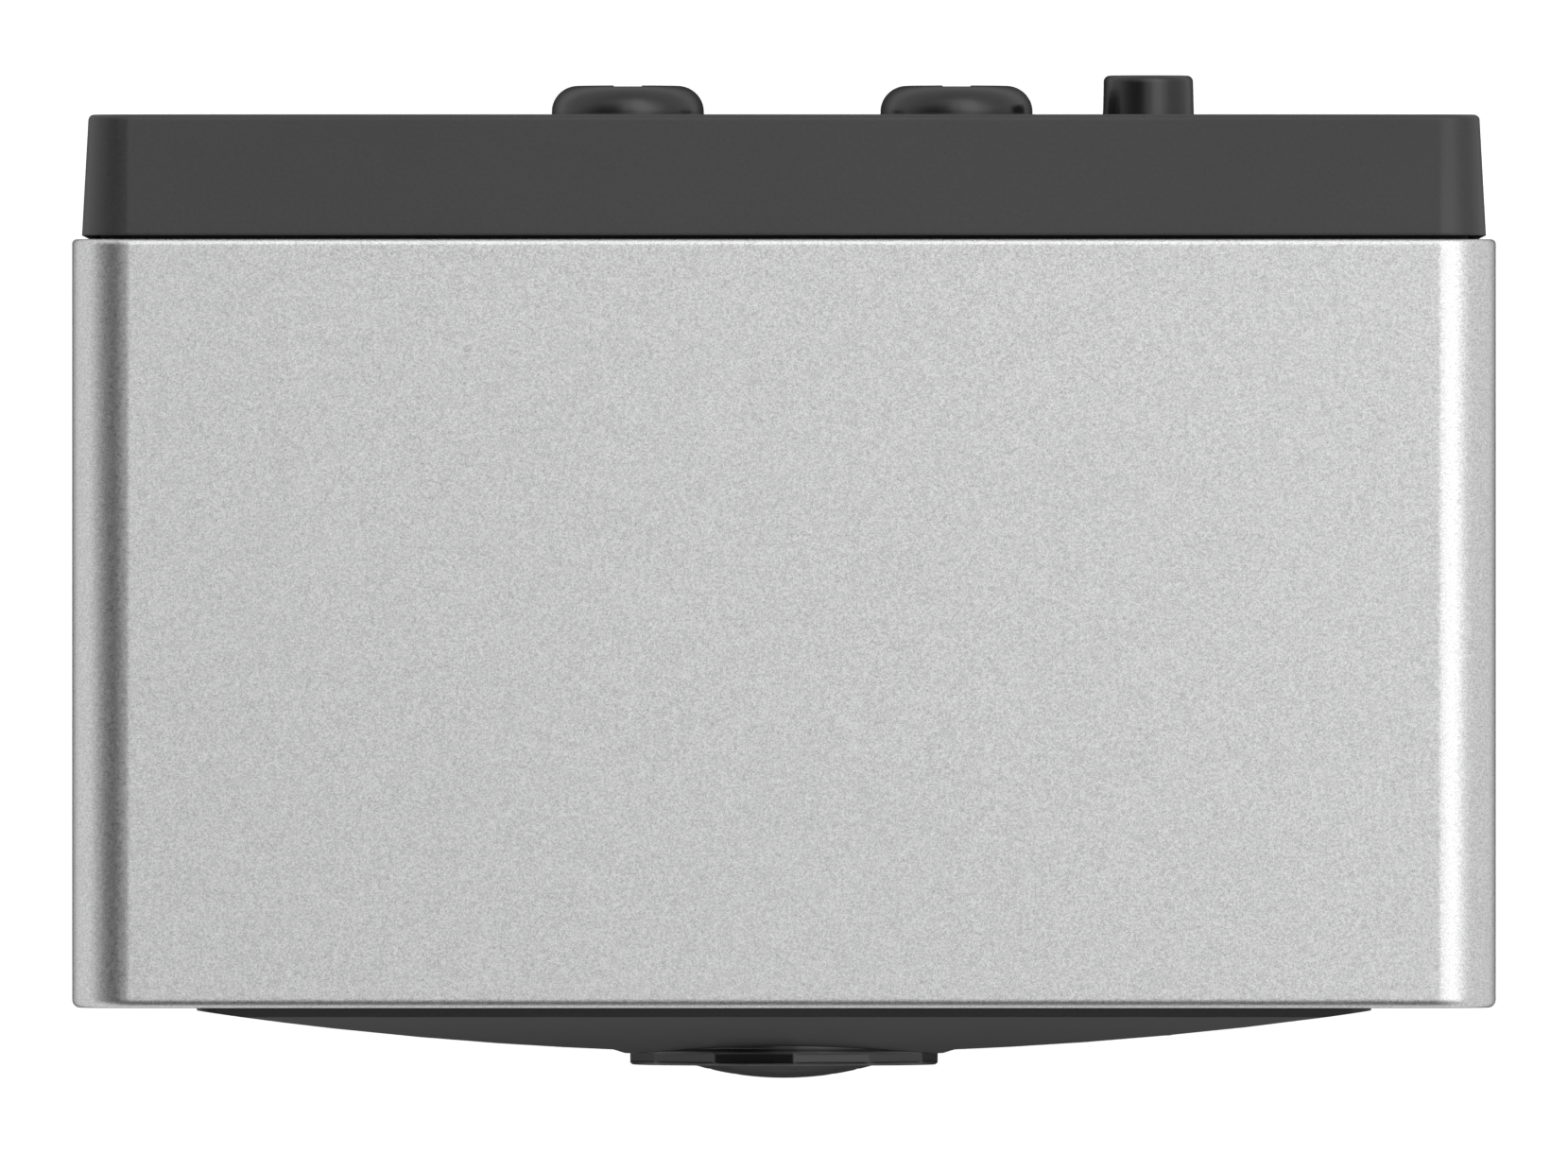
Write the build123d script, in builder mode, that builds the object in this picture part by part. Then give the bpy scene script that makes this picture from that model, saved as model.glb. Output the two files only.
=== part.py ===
from build123d import *
import os
from math import acos, atan2, cos, degrees, hypot, sin, sqrt

# A pocket microcassette dictation machine, standing on its flat bottom end.
# +Z is up the machine, -Y is its crowned front with the dial, +Y is its rear cover. Millimetres.

os.makedirs("parts", exist_ok=True)

# ---------------------------------------------------------------- driving dimensions
WIDTH = 65.0
HEIGHT = 118.0
FRONT_RIM = -19.67
BACK_RIM = 15.42
SIDE_WALL = 1.6
FRONT_WALL = 1.5
CORNER_RADIUS = 2.6
FRONT_EDGE = 0.37
BACK_EDGE = 0.22
MID_Z = HEIGHT / 2

PANEL_HALF = 26.85
PANEL_LOW = 5.0
PANEL_TOP = 113.0
PANEL_CORNER = 0.9
PANEL_GAP = 0.1
PANEL_INNER = -17.95
CROWN_RADIUS = 177.8
CROWN_APEX = -21.86
CROWN_CENTRE = CROWN_APEX + CROWN_RADIUS
ROLL_TOP = 98.0
ROLL_LOW = 20.0
ROLL_APEX = CROWN_APEX - 0.09
ROLL_END = CROWN_APEX + 2.0

DOOR_LOW = 37.1
DOOR_TOP = 76.9
DOOR_GAP = 0.15
HINGE_X = -25.8

DIAL_Z = 98.0
DIAL_RADIUS = 7.09
LENS_RADIUS = 4.25
LENS_SPHERE = 14.7

COVER_JOINT = 15.59
COVER_BACK = 21.11
COVER_INNER = 19.61
COVER_HALF_JOINT = 32.05
COVER_HALF_BACK = 31.75
COVER_CORNER = 2.1
KNOB_Z = 100.0
LEVEL_KNOB_X = -7.18
SPEED_KNOB_X = 7.93
CUE_BUTTON_X = 16.75

CASSETTE_HALF = 25.1
CASSETTE_LOW = 40.0
CASSETTE_HEIGHT = 33.4
CASSETTE_FRONT = -17.3
CASSETTE_THICK = 8.1
CASSETTE_MID = CASSETTE_FRONT + CASSETTE_THICK / 2
CASSETTE_BACK = CASSETTE_FRONT + CASSETTE_THICK
HUB_X = 11.5
HUB_Z = 54.5
TAPE_WIDTH = 3.8
SUPPLY_PACK = 10.5
TAKEUP_PACK = 7.0

DECK_FRONT = -8.6
DECK_BACK = -7.6
CAPSTAN_X = 9.0
CAPSTAN_Z = 70.9
CAPSTAN_RADIUS = 0.8
CAPSTAN_PULLEY = 2.5
IDLER_RADIUS = 5.0
TURNTABLE_RADIUS = 8.4
WHEEL_GAP = 0.1
WHEEL_BACK = -5.2
WHEEL_FRONT = -6.8
FLYWHEEL_RADIUS = 12.0
BELT_RADIUS = 11.0
MOTOR_X = -17.0
MOTOR_Z = 72.0
MOTOR_PULLEY = 2.0
BRIDGE_TRAVEL = 3.2

BOARD_FRONT = 6.0
BOARD_BACK = 7.0
CONTROL_BOARD_FRONT = -14.8
CONTROL_BOARD_BACK = -13.8

SLIDER_Y = 8.76
SLIDER_Z = 90.0
SLIDER_LENGTH = 12.0

CELL_RADIUS = 7.1
CELL_LENGTH = 50.2
CELL_Y = 11.6
CELL_PITCH = 15.6
TRAY_Z = 25.1

POST_X = 28.4
COVER_POST_Z = (5.0, 113.0)
DECK_POST_X = 29.4
DECK_POST_Z = (39.5, 79.0)
BOARD_POST_X = 29.0
BOARD_POST_Z = (52.0, 100.0)

SPEAKER_Z = 21.0
SPEAKER_RADIUS = 13.8
JACK_Y = -2.0
EARPHONE_Z = 106.0
MICROPHONE_Z = 93.0
POWER_Z = 22.0
LAMP_X = 17.0
CAPSULE_X = -17.0


# ---------------------------------------------------------------- shared geometry
def at_depth(y):
    """Plane across the machine at depth y: sketch x is +X, sketch y is +Z, it extrudes forward (-Y)."""
    return Plane.XZ.offset(-y)


def at_side(x):
    """Plane along the machine at x: sketch x is +Y, sketch y is +Z, it extrudes towards +X."""
    return Plane.YZ.offset(x)


def crown_y(x, inset=0.0):
    """Depth of the crowned front surface at x, or of the surface that lies inset behind it."""
    return CROWN_CENTRE - sqrt((CROWN_RADIUS - inset) ** 2 - x ** 2)


def four_corners(x, heights):
    """The four places at plus and minus x and at the two heights."""
    return [(side * x, z) for side in (-1, 1) for z in heights]


def finish(builder, label):
    """Label one finished piece and write its STEP file."""
    builder.part.label = label
    export_step(builder.part, f"parts/{label}.step")


# ---------------------------------------------------------------- aluminium housing
POST_RADIUS = 2.7
COVER_POST_END = 13.4
DECK_POST_RADIUS = 1.8
BOARD_POST_RADIUS = 2.0
POST_ROOT = -4.0
PILOT_RADIUS = 0.8
POCKET_DEPTH = 1.0
POCKET_HALF_Y = 3.3
POCKET_MARGIN = 0.35
STEM_HALF_Y = 1.0
STEM_HALF_Z = 1.5
STEM_GAP = 0.15
JACK_NOSE = 2.9
JACK_HOLE = 2.95
INNER_WIDTH = WIDTH - 2 * SIDE_WALL
INNER_HEIGHT = HEIGHT - 2 * SIDE_WALL
FRONT_INNER = FRONT_RIM + FRONT_WALL
OPENING_WIDTH = 2 * (PANEL_HALF + PANEL_GAP)
OPENING_HEIGHT = PANEL_TOP - PANEL_LOW + 2 * PANEL_GAP
PANEL_MID = (PANEL_TOP + PANEL_LOW) / 2
POCKET_LOW = SLIDER_Z - SLIDER_LENGTH / 2 - BRIDGE_TRAVEL - POCKET_MARGIN
POCKET_TOP = SLIDER_Z + SLIDER_LENGTH / 2 + POCKET_MARGIN
STEM_SLOT_LOW = SLIDER_Z - STEM_HALF_Z - BRIDGE_TRAVEL - STEM_GAP
STEM_SLOT_TOP = SLIDER_Z + STEM_HALF_Z + STEM_GAP

with BuildPart() as housing_shell:
    with BuildSketch(at_depth(BACK_RIM)):
        with Locations((0, MID_Z)):
            RectangleRounded(WIDTH, HEIGHT, CORNER_RADIUS)
    extrude(amount=BACK_RIM - FRONT_RIM)
    fillet(faces().sort_by(Axis.Y)[-1].edges(), BACK_EDGE)
    fillet(faces().sort_by(Axis.Y)[0].edges(), FRONT_EDGE)
    with BuildSketch(at_depth(BACK_RIM)):
        with Locations((0, MID_Z)):
            RectangleRounded(INNER_WIDTH, INNER_HEIGHT, CORNER_RADIUS - SIDE_WALL)
    extrude(amount=BACK_RIM - FRONT_INNER, mode=Mode.SUBTRACT)
    # the front wall is open where the black front stands in it
    with BuildSketch(at_depth(FRONT_INNER)):
        with Locations((0, PANEL_MID)):
            RectangleRounded(OPENING_WIDTH, OPENING_HEIGHT, PANEL_CORNER + PANEL_GAP)
    extrude(amount=FRONT_WALL, mode=Mode.SUBTRACT)
    # screw posts for the cover, the deck and the main board, cast on to the side walls
    with BuildSketch(at_depth(COVER_POST_END)):
        with Locations(*four_corners(POST_X, COVER_POST_Z)):
            Circle(POST_RADIUS)
            Circle(PILOT_RADIUS, mode=Mode.SUBTRACT)
    extrude(amount=COVER_POST_END - POST_ROOT)
    with BuildSketch(at_depth(DECK_FRONT)):
        with Locations(*four_corners(DECK_POST_X, DECK_POST_Z)):
            Circle(DECK_POST_RADIUS)
            Circle(PILOT_RADIUS, mode=Mode.SUBTRACT)
    extrude(amount=DECK_FRONT - FRONT_INNER - FRONT_WALL)
    with BuildSketch(at_depth(BOARD_FRONT)):
        with Locations(*four_corners(BOARD_POST_X, BOARD_POST_Z)):
            Circle(BOARD_POST_RADIUS)
            Circle(PILOT_RADIUS, mode=Mode.SUBTRACT)
    extrude(amount=BOARD_FRONT - POST_ROOT)
    # pocket and slot of the thumb slide in the left wall
    with BuildSketch(at_side(-WIDTH / 2)):
        with Locations((SLIDER_Y, (POCKET_LOW + POCKET_TOP) / 2)):
            RectangleRounded(2 * POCKET_HALF_Y, POCKET_TOP - POCKET_LOW, POCKET_DEPTH)
    extrude(amount=POCKET_DEPTH, mode=Mode.SUBTRACT)
    with BuildSketch(at_side(-WIDTH / 2)):
        with Locations((SLIDER_Y, (STEM_SLOT_LOW + STEM_SLOT_TOP) / 2)):
            Rectangle(2 * (STEM_HALF_Y + STEM_GAP), STEM_SLOT_TOP - STEM_SLOT_LOW)
    extrude(amount=2 * SIDE_WALL, mode=Mode.SUBTRACT)
    # jack holes: two in the right wall, the power inlet in the left wall
    with BuildSketch(at_side(WIDTH / 2)):
        with Locations((JACK_Y, EARPHONE_Z), (JACK_Y, MICROPHONE_Z)):
            Circle(JACK_HOLE)
    extrude(amount=-2 * SIDE_WALL, mode=Mode.SUBTRACT)
    with BuildSketch(at_side(-WIDTH / 2)):
        with Locations((JACK_Y, POWER_Z)):
            Circle(JACK_HOLE)
    extrude(amount=2 * SIDE_WALL, mode=Mode.SUBTRACT)
finish(housing_shell, "housing_shell")


# ---------------------------------------------------------------- black crowned front
COLLAR_BASE = 8.15
COLLAR_TOP = 7.35
COLLAR_BASE_Y = FRONT_RIM - 1.98
COLLAR_TOP_Y = FRONT_RIM - 2.23
DIAL_SEAT = -20.87
DIAL_RECESS = 7.25
TUBE_RADIUS = 5.3
TUBE_HOLE = 5.4
FLANGE_BACK = -17.17
FLANGE_HALF = 27.9
FLANGE_MARGIN = 1.0
INSIDE_HALF = 24.0
INSIDE_MARGIN = 2.0
SLOT_COUNT = 7
SLOT_PITCH = 2.9
SLOT_HEIGHT = 1.2
SOUND_RADIUS = 11.5
CAPSULE_SLOT = 4.0
CAPSULE_SLOT_HEIGHT = 0.7
CAPSULE_SLOT_PITCH = 1.6
CAPSULE_SLOT_COUNT = 3
LAMP_RADIUS = 1.2
LAMP_HOLE = 1.25
PIN_RADIUS = 0.4
PIN_ENGAGE = 1.6
CONTROL_BOSS_X = 21.5
CONTROL_BOSS_Z = (88.5, 109.0)
CONTROL_BOSS_RADIUS = 1.8
TRIM = 1.0
BLANK_HALF = PANEL_HALF + TRIM
BARREL_RADIUS = (PANEL_INNER - crown_y(HINGE_X)) / 2
HINGE_Y = (PANEL_INNER + crown_y(HINGE_X)) / 2
BAND_LOW = DOOR_LOW - DOOR_GAP
BAND_TOP = DOOR_TOP + DOOR_GAP

with BuildPart() as front_panel:
    # the blank is larger than the panel all round, and is trimmed to its outline below
    with BuildSketch(Plane.XY.offset(PANEL_LOW - TRIM)):
        with BuildLine():
            Line((-BLANK_HALF, PANEL_INNER), (BLANK_HALF, PANEL_INNER))
            Line((BLANK_HALF, PANEL_INNER), (BLANK_HALF, crown_y(BLANK_HALF)))
            ThreePointArc(
                (BLANK_HALF, crown_y(BLANK_HALF)),
                (0, CROWN_APEX),
                (-BLANK_HALF, crown_y(BLANK_HALF)),
            )
            Line((-BLANK_HALF, crown_y(BLANK_HALF)), (-BLANK_HALF, PANEL_INNER))
        make_face()
    extrude(amount=PANEL_TOP - PANEL_LOW + 2 * TRIM)
    # low conical collar round the dial
    with BuildSketch(Plane.XY.offset(DIAL_Z)):
        with BuildLine():
            Polyline(
                (0, PANEL_INNER),
                (COLLAR_BASE, PANEL_INNER),
                (COLLAR_BASE, COLLAR_BASE_Y),
                (COLLAR_TOP, COLLAR_TOP_Y),
                (0, COLLAR_TOP_Y),
                close=True,
            )
        make_face()
    revolve(axis=Axis((0, 0, DIAL_Z), (0, 1, 0)))
    # the front rolls off towards its top and bottom ends
    with BuildSketch(Plane.YZ):
        with BuildLine():
            Line((0, PANEL_LOW - TRIM), (0, PANEL_TOP + TRIM))
            Line((0, PANEL_TOP + TRIM), (ROLL_END, PANEL_TOP + TRIM))
            TangentArc((ROLL_APEX, ROLL_TOP), (ROLL_END, PANEL_TOP + TRIM), tangent=(0, 1))
            Line((ROLL_APEX, ROLL_TOP), (ROLL_APEX, ROLL_LOW))
            TangentArc((ROLL_APEX, ROLL_LOW), (ROLL_END, PANEL_LOW - TRIM), tangent=(0, -1))
            Line((ROLL_END, PANEL_LOW - TRIM), (0, PANEL_LOW - TRIM))
        make_face()
    extrude(amount=WIDTH / 2, both=True, mode=Mode.INTERSECT)
    with BuildSketch(at_depth(0)):
        with Locations((0, PANEL_MID)):
            RectangleRounded(2 * PANEL_HALF, PANEL_TOP - PANEL_LOW, PANEL_CORNER)
    extrude(amount=WIDTH, mode=Mode.INTERSECT)
    # full-width gap that the cassette door closes
    with BuildSketch(at_depth(PANEL_INNER)):
        with Locations((0, (BAND_LOW + BAND_TOP) / 2)):
            Rectangle(WIDTH, BAND_TOP - BAND_LOW)
    extrude(amount=WIDTH, both=True, mode=Mode.SUBTRACT)
    # flange behind the housing's front wall, with the deck and sound windows left open
    with BuildSketch(at_depth(FLANGE_BACK)):
        with Locations((0, PANEL_MID)):
            Rectangle(2 * FLANGE_HALF, PANEL_TOP - PANEL_LOW + 2 * FLANGE_MARGIN)
        with Locations((0, (BAND_LOW + BAND_TOP) / 2)):
            Rectangle(OPENING_WIDTH, BAND_TOP - BAND_LOW, mode=Mode.SUBTRACT)
        with Locations((0, (BAND_TOP + PANEL_TOP) / 2)):
            Rectangle(2 * INSIDE_HALF, PANEL_TOP - BAND_TOP - 2 * INSIDE_MARGIN, mode=Mode.SUBTRACT)
        with Locations((0, (PANEL_LOW + BAND_LOW) / 2)):
            Rectangle(2 * INSIDE_HALF, BAND_LOW - PANEL_LOW - 2 * INSIDE_MARGIN, mode=Mode.SUBTRACT)
    extrude(amount=FLANGE_BACK - FRONT_INNER)
    # bosses that carry the control board
    with BuildSketch(at_depth(CONTROL_BOARD_FRONT)):
        with Locations(*four_corners(CONTROL_BOSS_X, CONTROL_BOSS_Z)):
            Circle(CONTROL_BOSS_RADIUS)
            Circle(PILOT_RADIUS, mode=Mode.SUBTRACT)
    extrude(amount=CONTROL_BOARD_FRONT - PANEL_INNER)
    # dial seat, dial tube hole, lamp hole
    with BuildSketch(at_depth(DIAL_SEAT)):
        with Locations((0, DIAL_Z)):
            Circle(DIAL_RECESS)
    extrude(amount=WIDTH, mode=Mode.SUBTRACT)
    with BuildSketch(at_depth(PANEL_INNER)):
        with Locations((0, DIAL_Z)):
            Circle(TUBE_HOLE)
        with Locations((LAMP_X, DIAL_Z)):
            Circle(LAMP_HOLE)
    extrude(amount=WIDTH, mode=Mode.SUBTRACT)
    # microphone slots
    with BuildSketch(at_depth(PANEL_INNER)):
        with Locations((CAPSULE_X, DIAL_Z)):
            with GridLocations(1, CAPSULE_SLOT_PITCH, 1, CAPSULE_SLOT_COUNT):
                SlotOverall(CAPSULE_SLOT, CAPSULE_SLOT_HEIGHT)
    extrude(amount=WIDTH, mode=Mode.SUBTRACT)
    # loudspeaker slots, each as long as the round sound field allows
    with BuildSketch(at_depth(PANEL_INNER)):
        for row in range(SLOT_COUNT):
            rise = (row - (SLOT_COUNT - 1) / 2) * SLOT_PITCH
            with Locations((0, SPEAKER_Z + rise)):
                SlotOverall(2 * sqrt(SOUND_RADIUS ** 2 - rise ** 2), SLOT_HEIGHT)
    extrude(amount=WIDTH, mode=Mode.SUBTRACT)
    # blind holes for the ends of the door's hinge pin
    with BuildSketch(Plane.XY.offset(BAND_LOW - PIN_ENGAGE)):
        with Locations((HINGE_X, HINGE_Y)):
            Circle(PIN_RADIUS)
    extrude(amount=BAND_TOP - BAND_LOW + 2 * PIN_ENGAGE, mode=Mode.SUBTRACT)
finish(front_panel, "front_panel")

DOOR_WALL = 1.6
DOOR_POCKET_HALF = 23.0
DOOR_POCKET_MARGIN = 2.6
WINDOW_HALF = 17.0
WINDOW_HEIGHT = 20.0
WINDOW_Z = HUB_Z
WINDOW_CORNER = 2.0
WINDOW_GAP = 0.05
WINDOW_INSET = 0.15
WINDOW_FLANGE = 1.6
WINDOW_FLANGE_THICK = 0.8
THUMB_RADIUS = 4.0
THUMB_BITE = 1.1
THUMB_DEPTH = 1.2
DOOR_RIGHT = PANEL_HALF

with BuildPart() as cassette_door:
    with BuildSketch(Plane.XY.offset(DOOR_LOW)):
        with BuildLine():
            Line((HINGE_X, PANEL_INNER), (DOOR_RIGHT, PANEL_INNER))
            Line((DOOR_RIGHT, PANEL_INNER), (DOOR_RIGHT, crown_y(DOOR_RIGHT)))
            ThreePointArc(
                (DOOR_RIGHT, crown_y(DOOR_RIGHT)),
                (0, CROWN_APEX),
                (HINGE_X, crown_y(HINGE_X)),
            )
            ThreePointArc(
                (HINGE_X, crown_y(HINGE_X)),
                (HINGE_X - BARREL_RADIUS, HINGE_Y),
                (HINGE_X, PANEL_INNER),
            )
        make_face()
        with Locations((HINGE_X, HINGE_Y)):
            Circle(PIN_RADIUS, mode=Mode.SUBTRACT)
    extrude(amount=DOOR_TOP - DOOR_LOW)
    # hollow back that follows the crown
    with BuildSketch(Plane.XY.offset(DOOR_LOW + DOOR_POCKET_MARGIN)):
        with BuildLine():
            Line((-DOOR_POCKET_HALF, PANEL_INNER), (DOOR_POCKET_HALF, PANEL_INNER))
            Line((DOOR_POCKET_HALF, PANEL_INNER), (DOOR_POCKET_HALF, crown_y(DOOR_POCKET_HALF, DOOR_WALL)))
            ThreePointArc(
                (DOOR_POCKET_HALF, crown_y(DOOR_POCKET_HALF, DOOR_WALL)),
                (0, crown_y(0, DOOR_WALL)),
                (-DOOR_POCKET_HALF, crown_y(DOOR_POCKET_HALF, DOOR_WALL)),
            )
            Line((-DOOR_POCKET_HALF, crown_y(DOOR_POCKET_HALF, DOOR_WALL)), (-DOOR_POCKET_HALF, PANEL_INNER))
        make_face()
    extrude(amount=DOOR_TOP - DOOR_LOW - 2 * DOOR_POCKET_MARGIN, mode=Mode.SUBTRACT)
    with BuildSketch(at_depth(PANEL_INNER)):
        with Locations((0, WINDOW_Z)):
            RectangleRounded(2 * WINDOW_HALF, WINDOW_HEIGHT, WINDOW_CORNER)
    extrude(amount=WIDTH, mode=Mode.SUBTRACT)
    # thumb bite in the free edge
    with BuildSketch(at_depth(crown_y(DOOR_RIGHT) + THUMB_DEPTH)):
        with Locations((DOOR_RIGHT + THUMB_RADIUS - THUMB_BITE, WINDOW_Z)):
            Circle(THUMB_RADIUS)
    extrude(amount=WIDTH, mode=Mode.SUBTRACT)
finish(cassette_door, "cassette_door")

with BuildPart() as door_window:
    with BuildSketch(Plane.XY.offset(DOOR_LOW)):
        with BuildLine():
            Polyline(
                (-DOOR_POCKET_HALF, crown_y(DOOR_POCKET_HALF, DOOR_WALL + WINDOW_FLANGE_THICK)),
                (-DOOR_POCKET_HALF, crown_y(DOOR_POCKET_HALF, WINDOW_INSET)),
            )
            ThreePointArc(
                (-DOOR_POCKET_HALF, crown_y(DOOR_POCKET_HALF, WINDOW_INSET)),
                (0, crown_y(0, WINDOW_INSET)),
                (DOOR_POCKET_HALF, crown_y(DOOR_POCKET_HALF, WINDOW_INSET)),
            )
            Polyline(
                (DOOR_POCKET_HALF, crown_y(DOOR_POCKET_HALF, WINDOW_INSET)),
                (DOOR_POCKET_HALF, crown_y(DOOR_POCKET_HALF, DOOR_WALL + WINDOW_FLANGE_THICK)),
            )
            ThreePointArc(
                (DOOR_POCKET_HALF, crown_y(DOOR_POCKET_HALF, DOOR_WALL + WINDOW_FLANGE_THICK)),
                (0, crown_y(0, DOOR_WALL + WINDOW_FLANGE_THICK)),
                (-DOOR_POCKET_HALF, crown_y(DOOR_POCKET_HALF, DOOR_WALL + WINDOW_FLANGE_THICK)),
            )
        make_face()
    extrude(amount=DOOR_TOP - DOOR_LOW)
    with BuildSketch(at_depth(0)):
        with Locations((0, WINDOW_Z)):
            Rectangle(2 * (WINDOW_HALF + WINDOW_FLANGE), WINDOW_HEIGHT + 2 * WINDOW_FLANGE)
    extrude(amount=WIDTH, mode=Mode.INTERSECT)
    # in front of the door's inner face only the window's own outline is left
    with BuildSketch(Plane.XY.offset(DOOR_LOW)):
        with BuildLine():
            ThreePointArc(
                (-DOOR_POCKET_HALF, crown_y(DOOR_POCKET_HALF, DOOR_WALL)),
                (0, crown_y(0, DOOR_WALL)),
                (DOOR_POCKET_HALF, crown_y(DOOR_POCKET_HALF, DOOR_WALL)),
            )
            Polyline(
                (DOOR_POCKET_HALF, crown_y(DOOR_POCKET_HALF, DOOR_WALL)),
                (DOOR_POCKET_HALF, CROWN_APEX),
                (-DOOR_POCKET_HALF, CROWN_APEX),
                (-DOOR_POCKET_HALF, crown_y(DOOR_POCKET_HALF, DOOR_WALL)),
            )
        make_face()
    with BuildSketch(at_depth(0), mode=Mode.PRIVATE) as window_outline:
        with Locations((0, WINDOW_Z)):
            Rectangle(WIDTH, HEIGHT)
            RectangleRounded(
                2 * (WINDOW_HALF - WINDOW_GAP),
                WINDOW_HEIGHT - 2 * WINDOW_GAP,
                WINDOW_CORNER,
                mode=Mode.SUBTRACT,
            )
    in_front = extrude(amount=DOOR_TOP - DOOR_LOW, mode=Mode.PRIVATE)
    around = extrude(window_outline.sketch, amount=WIDTH, mode=Mode.PRIVATE)
    add(in_front & around, mode=Mode.SUBTRACT)
finish(door_window, "door_window")


# ---------------------------------------------------------------- dial and record button
RING_FRONT = FRONT_RIM - 2.76
RING_BACK = FRONT_RIM - 1.40
RING_FLANGE_FRONT = FRONT_RIM - 1.98
RING_GROOVE_FRONT = FRONT_RIM - 2.07
RING_GROOVE_RADIUS = 6.88
RING_EDGE = 0.18
GRIP_BACK = FRONT_RIM - 2.20
GRIP_FRONT = FRONT_RIM - 2.63
GRIP_COUNT = 12
GRIP_TURN = -3.5
RING_BORE = 4.4
TUBE_END = -15.4
WEB_FRONT = -19.5
WEB_BACK = -18.7
STEM_HOLE = 2.2
STEM_RADIUS = 2.0
STEM_END = -17.4
LENS_BACK = -20.4
LENS_RIM = FRONT_RIM - 2.75
LENS_APEX = LENS_RIM - LENS_SPHERE + sqrt(LENS_SPHERE ** 2 - LENS_RADIUS ** 2)

with BuildPart() as dial_ring:
    with BuildSketch(Plane.XY.offset(DIAL_Z)):
        with BuildLine():
            Polyline(
                (RING_BORE, RING_FRONT),
                (DIAL_RADIUS, RING_FRONT),
                (DIAL_RADIUS, RING_GROOVE_FRONT),
                (RING_GROOVE_RADIUS, RING_GROOVE_FRONT),
                (RING_GROOVE_RADIUS, RING_FLANGE_FRONT),
                (DIAL_RADIUS, RING_FLANGE_FRONT),
                (DIAL_RADIUS, RING_BACK),
                (TUBE_RADIUS, RING_BACK),
                (TUBE_RADIUS, TUBE_END),
                (RING_BORE, TUBE_END),
                (RING_BORE, WEB_BACK),
                (STEM_HOLE, WEB_BACK),
                (STEM_HOLE, WEB_FRONT),
                (RING_BORE, WEB_FRONT),
                close=True,
            )
        make_face()
    revolve(axis=Axis((0, 0, DIAL_Z), (0, 1, 0)))
    fillet(edges().filter_by(GeomType.CIRCLE).group_by(Axis.Y)[0].sort_by(SortBy.RADIUS)[-1], RING_EDGE)
    # twelve recessed grip flats between two round lips
    with BuildSketch(at_depth(GRIP_BACK)):
        with Locations((0, DIAL_Z)):
            Circle(DIAL_RADIUS + WHEEL_GAP)
            RegularPolygon(DIAL_RADIUS, GRIP_COUNT, rotation=GRIP_TURN, mode=Mode.SUBTRACT)
    extrude(amount=GRIP_BACK - GRIP_FRONT, mode=Mode.SUBTRACT)
finish(dial_ring, "dial_ring")

with BuildPart() as record_button:
    with BuildSketch(Plane.XY.offset(DIAL_Z)):
        with BuildLine():
            Line((0, STEM_END), (0, LENS_APEX))
            RadiusArc((0, LENS_APEX), (LENS_RADIUS, LENS_RIM), -LENS_SPHERE)
            Polyline(
                (LENS_RADIUS, LENS_RIM),
                (LENS_RADIUS, LENS_BACK),
                (STEM_RADIUS, LENS_BACK),
                (STEM_RADIUS, STEM_END),
                (0, STEM_END),
            )
        make_face()
    revolve(axis=Axis((0, 0, DIAL_Z), (0, 1, 0)))
finish(record_button, "record_button")

ENCODER_RADIUS = 8.2
ENCODER_BORE = 5.5
ENCODER_FRONT = -17.9
ENCODER_EDGE = 0.4
with BuildPart() as dial_encoder:
    with BuildSketch(at_depth(CONTROL_BOARD_FRONT)):
        with Locations((0, DIAL_Z)):
            Circle(ENCODER_RADIUS)
            Circle(ENCODER_BORE, mode=Mode.SUBTRACT)
    extrude(amount=CONTROL_BOARD_FRONT - ENCODER_FRONT)
    chamfer(edges().filter_by(GeomType.CIRCLE).group_by(Axis.Y)[0].sort_by(SortBy.RADIUS)[-1], ENCODER_EDGE)
finish(dial_encoder, "dial_encoder")

SWITCH_SIZE = 5.0
SWITCH_FRONT = -16.4
SWITCH_PLUNGER = 1.2
PLUNGER_FRONT = -16.8
CONTROL_BOARD_HALF = 24.0
CONTROL_BOARD_LOW = 86.5
CONTROL_BOARD_TOP = 111.0
BOARD_CORNER = 1.0
SCREW_SHANK = 0.75
SCREW_CLEARANCE = 1.0
with BuildPart() as control_board:
    with BuildSketch(at_depth(CONTROL_BOARD_BACK)):
        with Locations((0, (CONTROL_BOARD_LOW + CONTROL_BOARD_TOP) / 2)):
            RectangleRounded(2 * CONTROL_BOARD_HALF, CONTROL_BOARD_TOP - CONTROL_BOARD_LOW, BOARD_CORNER)
        with Locations(*four_corners(CONTROL_BOSS_X, CONTROL_BOSS_Z)):
            Circle(SCREW_CLEARANCE, mode=Mode.SUBTRACT)
    extrude(amount=CONTROL_BOARD_BACK - CONTROL_BOARD_FRONT)
finish(control_board, "control_board")

LAMP_TIP = -21.1
LAMP_FLANGE = 1.6
LAMP_FLANGE_FRONT = -15.6
LAMP_EDGE = 0.5
with BuildPart() as record_lamp:
    with BuildSketch(at_depth(CONTROL_BOARD_FRONT)):
        with Locations((LAMP_X, DIAL_Z)):
            Circle(LAMP_FLANGE)
    extrude(amount=CONTROL_BOARD_FRONT - LAMP_FLANGE_FRONT)
    with BuildSketch(at_depth(LAMP_FLANGE_FRONT)):
        with Locations((LAMP_X, DIAL_Z)):
            Circle(LAMP_RADIUS)
    extrude(amount=LAMP_FLANGE_FRONT - LAMP_TIP)
    fillet(faces().sort_by(Axis.Y)[0].edges(), LAMP_EDGE)
finish(record_lamp, "record_lamp")

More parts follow.
